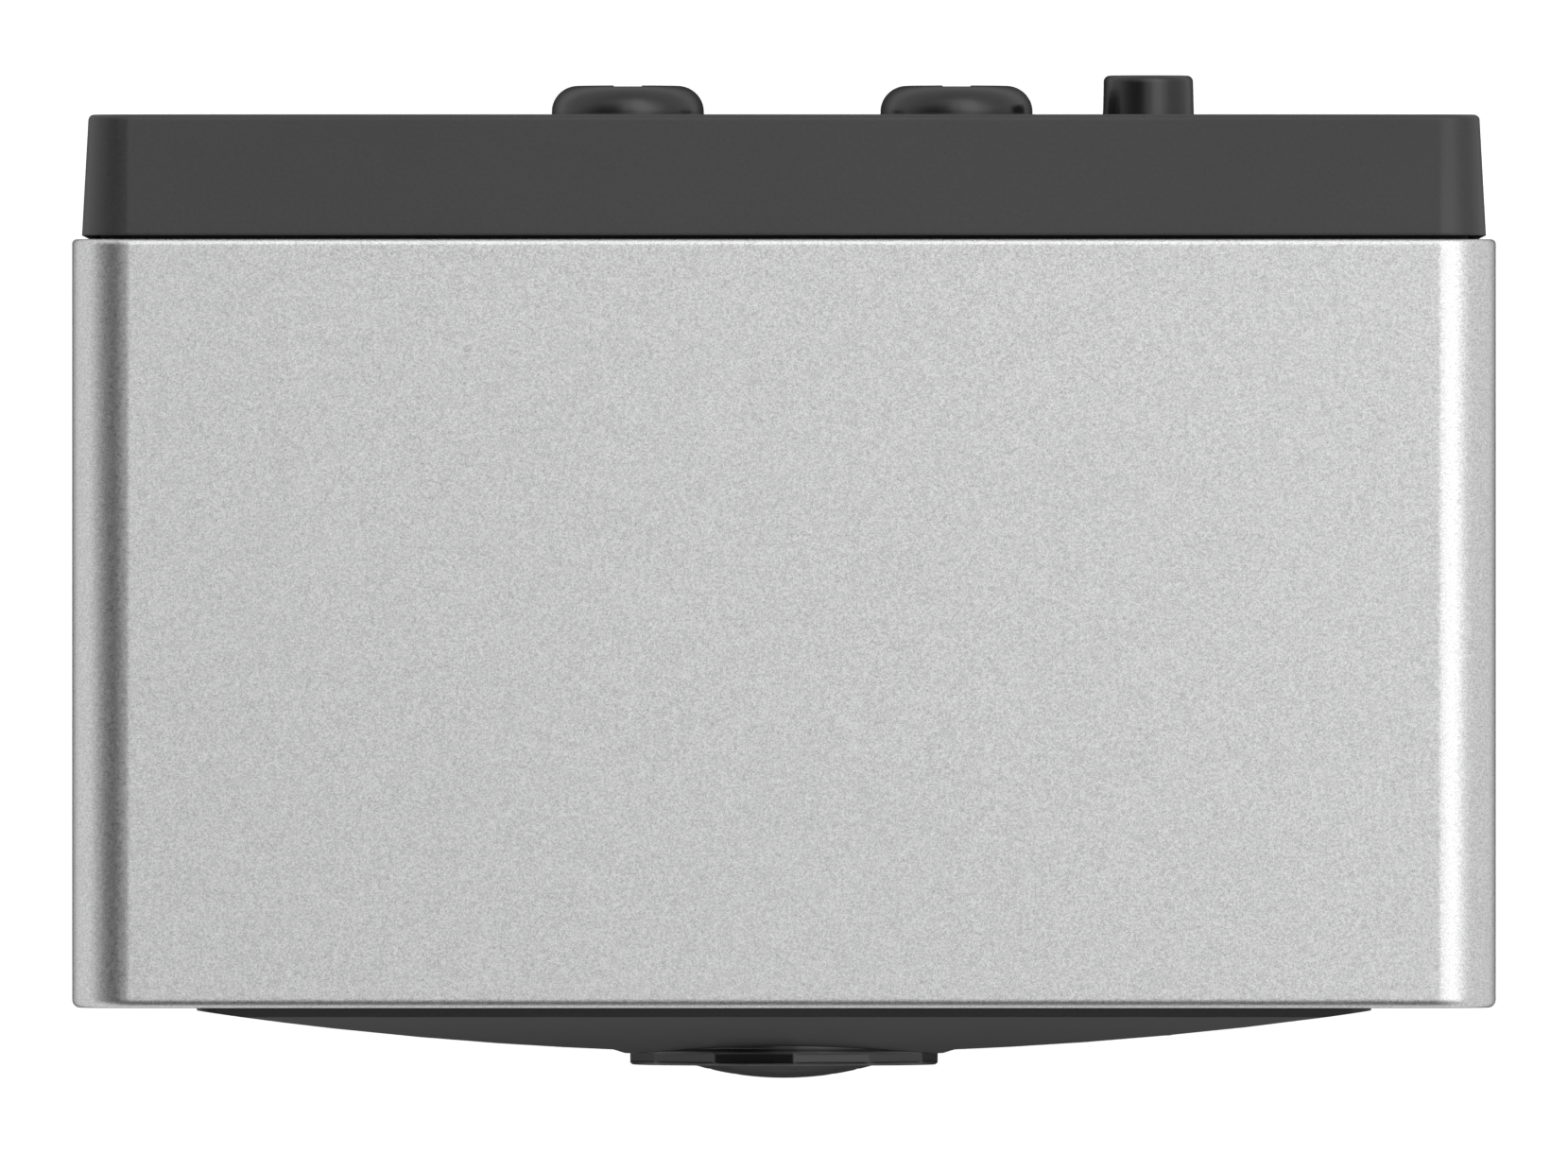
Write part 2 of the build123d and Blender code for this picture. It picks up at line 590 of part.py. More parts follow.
CAPSULE_RADIUS = 3.0
CAPSULE_FRONT = -17.9
CAPSULE_EDGE = 0.3
with BuildPart() as microphone_capsule:
    with BuildSketch(at_depth(CONTROL_BOARD_FRONT)):
        with Locations((CAPSULE_X, DIAL_Z)):
            Circle(CAPSULE_RADIUS)
    extrude(amount=CONTROL_BOARD_FRONT - CAPSULE_FRONT)
    chamfer(faces().sort_by(Axis.Y)[0].edges(), CAPSULE_EDGE)
finish(microphone_capsule, "microphone_capsule")

# ---------------------------------------------------------------- loudspeaker
CLOTH_BACK = -17.65
RIM_BACK = -16.4
BASKET_BACK = -12.4
MAGNET_BACK = -9.2
BASKET_RADIUS = 8.6
CONE_RIM = 12.2
CONE_THROAT = 3.6
CONE_THICK = 0.3
CONE_BACK = -13.6
BASKET_WALL = 0.6
MAGNET_RADIUS = 8.0

with BuildPart() as grille_cloth:
    with BuildSketch(at_depth(CLOTH_BACK)):
        with Locations((0, SPEAKER_Z)):
            Circle(SPEAKER_RADIUS)
    extrude(amount=CLOTH_BACK - PANEL_INNER)
finish(grille_cloth, "grille_cloth")

with BuildPart() as speaker_frame:
    with BuildSketch(Plane.XY.offset(SPEAKER_Z)):
        with BuildLine():
            Polyline(
                (CONE_RIM, CLOTH_BACK),
                (SPEAKER_RADIUS, CLOTH_BACK),
                (SPEAKER_RADIUS, RIM_BACK),
                (BASKET_RADIUS + BASKET_WALL, BASKET_BACK),
                (CONE_THROAT, BASKET_BACK),
                (CONE_THROAT, BASKET_BACK - BASKET_WALL),
                (BASKET_RADIUS, BASKET_BACK - BASKET_WALL),
                (SPEAKER_RADIUS - 2 * BASKET_WALL, RIM_BACK),
                (CONE_RIM, RIM_BACK),
                close=True,
            )
        make_face()
    revolve(axis=Axis((0, 0, SPEAKER_Z), (0, 1, 0)))
finish(speaker_frame, "speaker_frame")

with BuildPart() as speaker_cone:
    with BuildSketch(Plane.XY.offset(SPEAKER_Z)):
        with BuildLine():
            Polyline(
                (CONE_RIM, CLOTH_BACK + CONE_THICK),
                (CONE_RIM, CLOTH_BACK + 2 * CONE_THICK),
                (CONE_THROAT, CONE_BACK + CONE_THICK),
                (0, CONE_BACK - CONE_THICK),
                (0, CONE_BACK - 2 * CONE_THICK),
                (CONE_THROAT, CONE_BACK),
                close=True,
            )
        make_face()
    revolve(axis=Axis((0, 0, SPEAKER_Z), (0, 1, 0)))
finish(speaker_cone, "speaker_cone")

MAGNET_EDGE = 0.5
with BuildPart() as speaker_magnet:
    with BuildSketch(at_depth(MAGNET_BACK)):
        with Locations((0, SPEAKER_Z)):
            Circle(MAGNET_RADIUS)
    extrude(amount=MAGNET_BACK - BASKET_BACK)
    fillet(faces().sort_by(Axis.Y)[-1].edges(), MAGNET_EDGE)
finish(speaker_magnet, "speaker_magnet")

# ---------------------------------------------------------------- tape deck
CHASSIS_HALF = 30.3
CHASSIS_LOW = 36.5
CHASSIS_TOP = 83.0
CHASSIS_CORNER = 2.0
BUSH_RADIUS = 2.2
BUSH_FRONT = -8.9
BUSH_BACK = -7.0
SPINDLE_SHAFT = 1.2
RUNNING_GAP = 0.05
GUIDE_X = 16.0
GUIDE_Z = 81.0
GUIDE_RADIUS = 1.0
SHAFT_HOLES = ((CAPSTAN_X, CAPSTAN_Z), (-HUB_X, HUB_Z), (HUB_X, HUB_Z))

with BuildPart() as chassis_plate:
    with BuildSketch(at_depth(DECK_BACK)):
        with Locations((0, (CHASSIS_LOW + CHASSIS_TOP) / 2)):
            RectangleRounded(2 * CHASSIS_HALF, CHASSIS_TOP - CHASSIS_LOW, CHASSIS_CORNER)
        with Locations(*SHAFT_HOLES):
            Circle(BUSH_RADIUS, mode=Mode.SUBTRACT)
        with Locations(*four_corners(DECK_POST_X, DECK_POST_Z)):
            Circle(SCREW_CLEARANCE, mode=Mode.SUBTRACT)
    extrude(amount=DECK_BACK - DECK_FRONT)
finish(chassis_plate, "chassis_plate")

with BuildPart() as shaft_bushes:
    with BuildSketch(at_depth(BUSH_BACK)):
        with Locations(*SHAFT_HOLES):
            Circle(BUSH_RADIUS)
        with Locations(*SHAFT_HOLES[1:]):
            Circle(SPINDLE_SHAFT + RUNNING_GAP, mode=Mode.SUBTRACT)
        with Locations(SHAFT_HOLES[0]):
            Circle(CAPSTAN_RADIUS + RUNNING_GAP, mode=Mode.SUBTRACT)
    extrude(amount=BUSH_BACK - BUSH_FRONT)
finish(shaft_bushes, "shaft_bushes")

WELL_FRONT = -17.7
WELL_HALF = 26.4
WELL_INNER = 25.2
WELL_LOW = 39.0
WELL_TOP = 74.0
WELL_HOLE = 3.6
with BuildPart() as cassette_well:
    with BuildSketch(at_depth(DECK_FRONT)):
        with Locations((0, (WELL_LOW + WELL_TOP) / 2)):
            Rectangle(2 * WELL_HALF, WELL_TOP - WELL_LOW)
    extrude(amount=DECK_FRONT - WELL_FRONT)
    with BuildSketch(at_depth(CASSETTE_BACK)):
        with Locations((0, CASSETTE_LOW)):
            Rectangle(2 * WELL_INNER, HEIGHT, align=(Align.CENTER, Align.MIN))
    extrude(amount=WIDTH, mode=Mode.SUBTRACT)
    with BuildSketch(at_depth(DECK_FRONT)):
        with Locations(*SHAFT_HOLES):
            Circle(WELL_HOLE)
        with Locations((CAPSTAN_X, WELL_TOP)):
            Rectangle(2 * WELL_HOLE, 2 * (WELL_TOP - CAPSTAN_Z))
    extrude(amount=WIDTH, mode=Mode.SUBTRACT)
finish(cassette_well, "cassette_well")

CAPSTAN_FRONT = -16.0
FLYWHEEL_FRONT = 0.2
FLYWHEEL_BACK = 3.2
GROOVE_FRONT = 1.1
GROOVE_BACK = 2.3
BRACKET_FRONT = 4.0
BRACKET_BACK = 4.8
WEB_RADIUS = 9.5
FLYWHEEL_HUB = 3.0
WEB_THICK = 0.8
# one turned piece: the capstan, the pulley that drives the idler, and the flywheel with its belt groove
with BuildPart() as flywheel:
    with BuildSketch(Plane.XY.offset(CAPSTAN_Z)):
        with BuildLine():
            Polyline(
                (CAPSTAN_X, CAPSTAN_FRONT),
                (CAPSTAN_X + CAPSTAN_RADIUS, CAPSTAN_FRONT),
                (CAPSTAN_X + CAPSTAN_RADIUS, WHEEL_FRONT),
                (CAPSTAN_X + CAPSTAN_PULLEY, WHEEL_FRONT),
                (CAPSTAN_X + CAPSTAN_PULLEY, FLYWHEEL_FRONT),
                (CAPSTAN_X + FLYWHEEL_RADIUS, FLYWHEEL_FRONT),
                (CAPSTAN_X + FLYWHEEL_RADIUS, GROOVE_FRONT),
                (CAPSTAN_X + BELT_RADIUS, GROOVE_FRONT),
                (CAPSTAN_X + BELT_RADIUS, GROOVE_BACK),
                (CAPSTAN_X + FLYWHEEL_RADIUS, GROOVE_BACK),
                (CAPSTAN_X + FLYWHEEL_RADIUS, FLYWHEEL_BACK),
                (CAPSTAN_X + WEB_RADIUS, FLYWHEEL_BACK),
                (CAPSTAN_X + WEB_RADIUS, FLYWHEEL_BACK - WEB_THICK),
                (CAPSTAN_X + FLYWHEEL_HUB, FLYWHEEL_BACK - WEB_THICK),
                (CAPSTAN_X + FLYWHEEL_HUB, FLYWHEEL_BACK),
                (CAPSTAN_X + CAPSTAN_RADIUS, FLYWHEEL_BACK),
                (CAPSTAN_X + CAPSTAN_RADIUS, BRACKET_BACK),
                (CAPSTAN_X, BRACKET_BACK),
                close=True,
            )
        make_face()
    revolve(axis=Axis((CAPSTAN_X, 0, CAPSTAN_Z), (0, 1, 0)))
finish(flywheel, "flywheel")

BRACKET_SPAN = 14.0
BRACKET_LEG = 1.3
BRACKET_HEIGHT = 6.0
with BuildPart() as flywheel_bracket:
    with BuildSketch(at_depth(BRACKET_BACK)):
        with Locations((CAPSTAN_X, CAPSTAN_Z)):
            SlotCenterToCenter(2 * BRACKET_SPAN, BRACKET_HEIGHT)
            Circle(CAPSTAN_RADIUS + RUNNING_GAP, mode=Mode.SUBTRACT)
    extrude(amount=BRACKET_BACK - BRACKET_FRONT)
    with BuildSketch(at_depth(BRACKET_FRONT)):
        with Locations((CAPSTAN_X - BRACKET_SPAN, CAPSTAN_Z), (CAPSTAN_X + BRACKET_SPAN, CAPSTAN_Z)):
            Circle(BRACKET_LEG)
    extrude(amount=BRACKET_FRONT - DECK_BACK)
finish(flywheel_bracket, "flywheel_bracket")

MOTOR_RADIUS = 8.0
MOTOR_BACK = -0.6
MOTOR_BOSS = 2.4
MOTOR_SHAFT = 0.75
SHAFT_END = 3.1
PULLEY_RADIUS = 3.0
PULLEY_FRONT = 0.4
PULLEY_BACK = 3.0
MOTOR_EDGE = 0.6
with BuildPart() as motor:
    with BuildSketch(at_depth(MOTOR_BACK)):
        with Locations((MOTOR_X, MOTOR_Z)):
            Circle(MOTOR_RADIUS)
    extrude(amount=MOTOR_BACK - DECK_BACK)
    fillet(faces().sort_by(Axis.Y)[-1].edges(), MOTOR_EDGE)
    with BuildSketch(at_depth(PULLEY_FRONT - RUNNING_GAP)):
        with Locations((MOTOR_X, MOTOR_Z)):
            Circle(MOTOR_BOSS)
    extrude(amount=PULLEY_FRONT - RUNNING_GAP - MOTOR_BACK)
    with BuildSketch(at_depth(SHAFT_END)):
        with Locations((MOTOR_X, MOTOR_Z)):
            Circle(MOTOR_SHAFT)
    extrude(amount=SHAFT_END - MOTOR_BACK)
finish(motor, "motor")

with BuildPart() as motor_pulley:
    with BuildSketch(Plane.XY.offset(MOTOR_Z)):
        with BuildLine():
            Polyline(
                (MOTOR_X + MOTOR_SHAFT + RUNNING_GAP, PULLEY_FRONT),
                (MOTOR_X + PULLEY_RADIUS, PULLEY_FRONT),
                (MOTOR_X + PULLEY_RADIUS, GROOVE_FRONT),
                (MOTOR_X + MOTOR_PULLEY, GROOVE_FRONT),
                (MOTOR_X + MOTOR_PULLEY, GROOVE_BACK),
                (MOTOR_X + PULLEY_RADIUS, GROOVE_BACK),
                (MOTOR_X + PULLEY_RADIUS, PULLEY_BACK),
                (MOTOR_X + MOTOR_SHAFT + RUNNING_GAP, PULLEY_BACK),
                close=True,
            )
        make_face()
    revolve(axis=Axis((MOTOR_X, 0, MOTOR_Z), (0, 1, 0)))
finish(motor_pulley, "motor_pulley")

BELT_THICK = 0.8
BELT_GAP = 0.05
with BuildPart() as drive_belt:
    with BuildSketch(at_depth(GROOVE_BACK - WHEEL_GAP)):
        with BuildLine():
            CenterArc((MOTOR_X, MOTOR_Z), MOTOR_PULLEY + BELT_GAP + BELT_THICK, 0, 360)
            CenterArc((CAPSTAN_X, CAPSTAN_Z), BELT_RADIUS + BELT_GAP + BELT_THICK, 0, 360)
        make_hull()
        offset(amount=-BELT_THICK, mode=Mode.SUBTRACT)
    extrude(amount=GROOVE_BACK - GROOVE_FRONT - 2 * WHEEL_GAP)
finish(drive_belt, "drive_belt")

# the idler touches both the capstan pulley and the take-up turntable
REACH_CAPSTAN = CAPSTAN_PULLEY + IDLER_RADIUS + WHEEL_GAP
REACH_TURNTABLE = IDLER_RADIUS + TURNTABLE_RADIUS + WHEEL_GAP
CENTRES = hypot(HUB_X - CAPSTAN_X, HUB_Z - CAPSTAN_Z)
IDLER_COSINE = (REACH_CAPSTAN ** 2 + CENTRES ** 2 - REACH_TURNTABLE ** 2) / (2 * REACH_CAPSTAN * CENTRES)
IDLER_CORNER = acos(IDLER_COSINE)
IDLER_ANGLE = atan2(HUB_Z - CAPSTAN_Z, HUB_X - CAPSTAN_X) - IDLER_CORNER
IDLER_X = CAPSTAN_X + REACH_CAPSTAN * cos(IDLER_ANGLE)
IDLER_Z = CAPSTAN_Z + REACH_CAPSTAN * sin(IDLER_ANGLE)
IDLER_PIN = 0.8
print("idler axis", round(IDLER_X, 4), round(IDLER_Z, 4))

with BuildPart() as idler_wheel:
    with BuildSketch(at_depth(WHEEL_BACK)):
        with Locations((IDLER_X, IDLER_Z)):
            Circle(IDLER_RADIUS)
            Circle(IDLER_PIN + RUNNING_GAP, mode=Mode.SUBTRACT)
    extrude(amount=WHEEL_BACK - WHEEL_FRONT)
finish(idler_wheel, "idler_wheel")

SPINDLE_BACK = -4.9
SPINDLE_NECK = -9.3
SPINDLE_FRONT = -15.6
SPINDLE_EDGE = 0.25
SPINDLE_HEAD = 2.2
FIN_REACH = 2.7
FIN_THICK = 0.7
FIN_COUNT = 3
TOOTH_COUNT = 6
TOOTH_THICK = 0.6
TOOTH_TIP = 2.45
HUB_BORE = 3.0
HUB_RADIUS = 4.2
HUB_FRONT = -15.9
HUB_BACK = -10.6
TOOTH_TURN = 30.0


def make_spindle(x):
    """Reel spindle: a friction turntable, a shaft through the deck and a three-finned driving head."""
    with BuildPart() as spindle:
        with BuildSketch(at_depth(SPINDLE_BACK)):
            with Locations((x, HUB_Z)):
                Circle(SPINDLE_SHAFT)
        extrude(amount=SPINDLE_BACK - SPINDLE_NECK)
        with BuildSketch(at_depth(WHEEL_BACK)):
            with Locations((x, HUB_Z)):
                Circle(TURNTABLE_RADIUS)
        extrude(amount=WHEEL_BACK - WHEEL_FRONT)
        with BuildSketch(at_depth(SPINDLE_NECK)):
            with Locations((x, HUB_Z)):
                Circle(SPINDLE_HEAD)
                with PolarLocations(0, FIN_COUNT):
                    Rectangle(FIN_REACH, FIN_THICK, align=(Align.MIN, Align.CENTER))
        extrude(amount=SPINDLE_NECK - SPINDLE_FRONT)
        chamfer(faces().sort_by(Axis.Y)[0].edges(), SPINDLE_EDGE)
    return spindle


def make_reel(x):
    """Cassette hub with six inner drive teeth that sit between the spindle's fins."""
    with BuildPart() as reel:
        with BuildSketch(at_depth(HUB_BACK)):
            with Locations((x, HUB_Z)):
                Circle(HUB_RADIUS)
                Circle(HUB_BORE, mode=Mode.SUBTRACT)
                with PolarLocations((HUB_BORE + TOOTH_TIP) / 2 + RUNNING_GAP, TOOTH_COUNT, TOOTH_TURN):
                    Rectangle(HUB_BORE - TOOTH_TIP + RUNNING_GAP, TOOTH_THICK)
        extrude(amount=HUB_BACK - HUB_FRONT)
    return reel


def make_pack(x, radius):
    """Wound tape on a hub."""
    with BuildPart() as pack:
        with BuildSketch(at_depth(CASSETTE_MID + TAPE_WIDTH / 2)):
            with Locations((x, HUB_Z)):
                Circle(radius)
                Circle(HUB_RADIUS, mode=Mode.SUBTRACT)
        extrude(amount=TAPE_WIDTH)
    return pack


for side, side_x, pack_radius in (("supply", -HUB_X, SUPPLY_PACK), ("takeup", HUB_X, TAKEUP_PACK)):
    finish(make_spindle(side_x), f"{side}_spindle")
    finish(make_reel(side_x), f"{side}_hub")
    finish(make_pack(side_x, pack_radius), f"{side}_tape_pack")

# ---------------------------------------------------------------- microcassette
CASE_FACE = 1.0
CASE_CORNER = 1.5
HUB_HOLE = 3.6
CAPSTAN_HOLE = 1.4
MOUTH_HALF = 14.0
MOUTH_LOW = 70.5
BOSS_X = 23.0
BOSS_Z = (42.2, 71.2)
BOSS_PLACES = four_corners(BOSS_X, BOSS_Z)
BOSS_RADIUS = 1.5
CASE_SCREW = 0.6
CASE_SCREW_HEAD = 1.1
CASE_SCREW_HEAD_DEPTH = 0.4
CASE_SCREW_LENGTH = 5.0
SIGHT_WIDTH = 9.0
SIGHT_HEIGHT = 7.0
SIGHT_CORNER = 1.0
CAVITY_FRONT = CASSETTE_FRONT + CASE_FACE
CAVITY_BACK = CASSETTE_BACK - CASE_FACE


def make_case_half(outer_face, cavity_face):
    """One half of the cassette: outline, cavity, the head mouth in its top edge and its holes."""
    back, front = sorted((CASSETTE_MID, outer_face), reverse=True)
    cavity_back, cavity_front = sorted((CASSETTE_MID, cavity_face), reverse=True)
    with BuildPart() as half:
        with BuildSketch(at_depth(back)):
            with Locations((0, CASSETTE_LOW + CASSETTE_HEIGHT / 2)):
                RectangleRounded(2 * CASSETTE_HALF, CASSETTE_HEIGHT, CASE_CORNER)
            with Locations((-HUB_X, HUB_Z), (HUB_X, HUB_Z)):
                Circle(HUB_HOLE, mode=Mode.SUBTRACT)
            with Locations((-CAPSTAN_X, CAPSTAN_Z), (CAPSTAN_X, CAPSTAN_Z)):
                Circle(CAPSTAN_HOLE, mode=Mode.SUBTRACT)
        extrude(amount=back - front)
        with BuildSketch(at_depth(cavity_back)):
            with Locations((0, CASSETTE_LOW + CASSETTE_HEIGHT / 2)):
                Rectangle(2 * (CASSETTE_HALF - CASE_FACE), CASSETTE_HEIGHT - 2 * CASE_FACE)
            with Locations((0, MOUTH_LOW)):
                Rectangle(2 * MOUTH_HALF, WIDTH, align=(Align.CENTER, Align.MIN))
        extrude(amount=cavity_back - cavity_front, mode=Mode.SUBTRACT)
        with BuildSketch(at_depth(cavity_back)):
            with Locations(*BOSS_PLACES):
                Circle(BOSS_RADIUS)
        extrude(amount=cavity_back - cavity_front)
        with BuildSketch(at_depth(back)):
            with Locations(*BOSS_PLACES):
                Circle(CASE_SCREW)
        extrude(amount=back - front, mode=Mode.SUBTRACT)
    return half


with BuildPart() as cassette_front_half:
    add(make_case_half(CASSETTE_FRONT, CAVITY_FRONT).part)
    with BuildSketch(at_depth(CASSETTE_FRONT + CASE_SCREW_HEAD_DEPTH)):
        with Locations(*BOSS_PLACES):
            Circle(CASE_SCREW_HEAD)
    extrude(amount=CASE_SCREW_HEAD_DEPTH, mode=Mode.SUBTRACT)
    with BuildSketch(at_depth(CAVITY_FRONT)):
        with Locations((0, HUB_Z)):
            RectangleRounded(SIGHT_WIDTH, SIGHT_HEIGHT, SIGHT_CORNER)
    extrude(amount=WIDTH, mode=Mode.SUBTRACT)
finish(cassette_front_half, "cassette_front_half")

with BuildPart() as cassette_back_half:
    add(make_case_half(CASSETTE_BACK, CAVITY_BACK).part)
finish(cassette_back_half, "cassette_back_half")

with BuildPart() as cassette_screws:
    with BuildSketch(at_depth(CASSETTE_FRONT + CASE_SCREW_HEAD_DEPTH)):
        with Locations(*BOSS_PLACES):
            Circle(CASE_SCREW_HEAD)
    extrude(amount=CASE_SCREW_HEAD_DEPTH - RUNNING_GAP)
    with BuildSketch(at_depth(CASSETTE_FRONT + CASE_SCREW_LENGTH)):
        with Locations(*BOSS_PLACES):
            Circle(CASE_SCREW)
    extrude(amount=CASE_SCREW_LENGTH - CASE_SCREW_HEAD_DEPTH)
finish(cassette_screws, "cassette_screws")

TAPE_THICK = 0.1
TAPE_Z = 72.0
TAPE_CORNER_X = 20.6
with BuildPart() as tape_span:
    with BuildSketch(at_depth(CASSETTE_MID + TAPE_WIDTH / 2)):
        with BuildLine():
            Polyline(
                (-HUB_X - SUPPLY_PACK - WHEEL_GAP, HUB_Z),
                (-TAPE_CORNER_X, TAPE_Z),
                (TAPE_CORNER_X, TAPE_Z),
                (HUB_X + TAKEUP_PACK + WHEEL_GAP, HUB_Z),
            )
            offset(amount=TAPE_THICK, side=Side.LEFT)
        make_face()
    extrude(amount=TAPE_WIDTH)
finish(tape_span, "tape_span")

PAD_HALF = 2.5
PAD_LOW = 70.0
PAD_TOP = 71.6
PAD_STRIP = 0.3
PAD_STRIP_HALF = 6.8
PAD_DEPTH = 3.4
with BuildPart() as pressure_pad:
    with BuildSketch(at_depth(CASSETTE_MID + PAD_DEPTH / 2)):
        with Locations((0, PAD_LOW)):
            Rectangle(2 * PAD_HALF, PAD_TOP - PAD_LOW, align=(Align.CENTER, Align.MIN))
            Rectangle(2 * PAD_STRIP_HALF, PAD_STRIP, align=(Align.CENTER, Align.MAX))
    extrude(amount=PAD_DEPTH)
finish(pressure_pad, "pressure_pad")

# ---------------------------------------------------------------- head bridge and thumb slide
BRIDGE_FRONT = -9.8
BRIDGE_BACK = -8.8
BRIDGE_HALF = 22.0
BRIDGE_LOW = 77.5
BRIDGE_TOP = 86.5
GUIDE_GAP = 0.1
GUIDE_HEAD = 1.8
GUIDE_HEAD_BACK = -9.9
GUIDE_HEAD_FRONT = -10.4
GUIDES = ((-GUIDE_X, GUIDE_Z), (GUIDE_X, GUIDE_Z))
LINK_OUT = -30.3
LINK_IN = -29.5
LINK_LOW = 88.4
LINK_TOP = 91.6
LINK_BACK = SLIDER_Y + STEM_HALF_Y
LINK_FRONT = -10.6
LINK_ARM_END = -18.4
LINK_ARM_LOW = 84.5
BRIDGE_CORNER = 1.0
BRIDGE_SLOT = 2 * (GUIDE_RADIUS + GUIDE_GAP)

with BuildPart() as head_bridge:
    with BuildSketch(at_depth(BRIDGE_BACK)):
        with Locations((0, (BRIDGE_LOW + BRIDGE_TOP) / 2)):
            RectangleRounded(2 * BRIDGE_HALF, BRIDGE_TOP - BRIDGE_LOW, BRIDGE_CORNER)
        with Locations(*[(x, z + BRIDGE_TRAVEL / 2) for x, z in GUIDES]):
            SlotCenterToCenter(BRIDGE_TRAVEL, BRIDGE_SLOT, rotation=90, mode=Mode.SUBTRACT)
    extrude(amount=BRIDGE_BACK - BRIDGE_FRONT)
    # side arm that the thumb slide pushes: a plate on the bridge and a bar along the left wall
    with BuildSketch(at_depth(BRIDGE_FRONT)):
        with Locations((LINK_OUT, LINK_ARM_LOW)):
            Rectangle(LINK_ARM_END - LINK_OUT, LINK_TOP - LINK_ARM_LOW, align=(Align.MIN, Align.MIN))
    extrude(amount=BRIDGE_FRONT - LINK_FRONT)
    with BuildSketch(at_side(LINK_OUT)):
        with Locations(((LINK_BACK + LINK_FRONT) / 2, (LINK_LOW + LINK_TOP) / 2)):
            Rectangle(LINK_BACK - LINK_FRONT, LINK_TOP - LINK_LOW)
    extrude(amount=LINK_IN - LINK_OUT)
finish(head_bridge, "head_bridge")

PIN_BACK = WHEEL_BACK + 2 * WHEEL_GAP
PIN_HEAD_BACK = PIN_BACK + 2 * WHEEL_GAP
# shoulder pins riveted in the deck: two guide the head bridge, one carries the idler
with BuildPart() as deck_pins:
    with BuildSketch(at_depth(DECK_FRONT)):
        with Locations(*GUIDES):
            Circle(GUIDE_RADIUS)
    extrude(amount=DECK_FRONT - GUIDE_HEAD_BACK)
    with BuildSketch(at_depth(GUIDE_HEAD_BACK)):
        with Locations(*GUIDES):
            Circle(GUIDE_HEAD)
    extrude(amount=GUIDE_HEAD_BACK - GUIDE_HEAD_FRONT)
    with BuildSketch(at_depth(PIN_BACK)):
        with Locations((IDLER_X, IDLER_Z)):
            Circle(IDLER_PIN)
    extrude(amount=PIN_BACK - DECK_BACK)
    with BuildSketch(at_depth(PIN_HEAD_BACK)):
        with Locations((IDLER_X, IDLER_Z)):
            Circle(2 * IDLER_PIN)
    extrude(amount=PIN_HEAD_BACK - PIN_BACK)
finish(deck_pins, "deck_pins")

HEAD_NOSE = 75.4
HEAD_TOP = 82.0
HEAD_HALF = 4.0
HEAD_HALF_DEPTH = 2.65
ERASE_X = -9.5
ERASE_HALF = 1.9
ERASE_NOSE = 75.6
ERASE_TOP = 80.5
ERASE_HALF_DEPTH = 2.2


def make_head(x, half, nose, top, half_depth):
    """Magnetic head with a rounded nose that points down at the tape, and its mounting foot."""
    with BuildPart() as head:
        with BuildSketch(at_depth(CASSETTE_MID + half_depth)):
            with BuildLine():
                ThreePointArc((x - half, nose + half / 2), (x, nose), (x + half, nose + half / 2))
                Polyline(
                    (x + half, nose + half / 2),
                    (x + half, top),
                    (x - half, top),
                    (x - half, nose + half / 2),
                )
            make_face()
        extrude(amount=2 * half_depth)
        with BuildSketch(at_depth(BRIDGE_FRONT)):
            with Locations((x, (BRIDGE_LOW + top) / 2)):
                Rectangle(2 * half, top - BRIDGE_LOW)
        extrude(amount=BRIDGE_FRONT - CASSETTE_MID - half_depth)
    return head


finish(make_head(0, HEAD_HALF, HEAD_NOSE, HEAD_TOP, HEAD_HALF_DEPTH), "record_head")
finish(make_head(ERASE_X, ERASE_HALF, ERASE_NOSE, ERASE_TOP, ERASE_HALF_DEPTH), "erase_head")

ROLLER_RADIUS = 3.0
ROLLER_Z = TAPE_Z + TAPE_THICK + 0.3 + ROLLER_RADIUS + BRIDGE_TRAVEL
ROLLER_HALF = 2.0
ARM_FRONT = -10.7
ARM_EYE = 1.6
ARM_HALF = 1.5
ARM_TOP = 86.0
ROLLER_PIN = 0.7
ROLLER_PIN_FRONT = -16.0
with BuildPart() as pinch_arm:
    with BuildSketch(at_depth(BRIDGE_FRONT)):
        with Locations((CAPSTAN_X, ROLLER_Z)):
            Circle(ARM_EYE)
            Rectangle(2 * ARM_HALF, ARM_TOP - ROLLER_Z, align=(Align.CENTER, Align.MIN))
    extrude(amount=BRIDGE_FRONT - ARM_FRONT)
    with BuildSketch(at_depth(ARM_FRONT)):
        with Locations((CAPSTAN_X, ROLLER_Z)):
            Circle(ROLLER_PIN)
    extrude(amount=ARM_FRONT - ROLLER_PIN_FRONT)
finish(pinch_arm, "pinch_arm")

with BuildPart() as pinch_roller:
    with BuildSketch(at_depth(CASSETTE_MID + ROLLER_HALF)):
        with Locations((CAPSTAN_X, ROLLER_Z)):
            Circle(ROLLER_RADIUS)
            Circle(ROLLER_PIN + RUNNING_GAP, mode=Mode.SUBTRACT)
    extrude(amount=2 * ROLLER_HALF)
finish(pinch_roller, "pinch_roller")

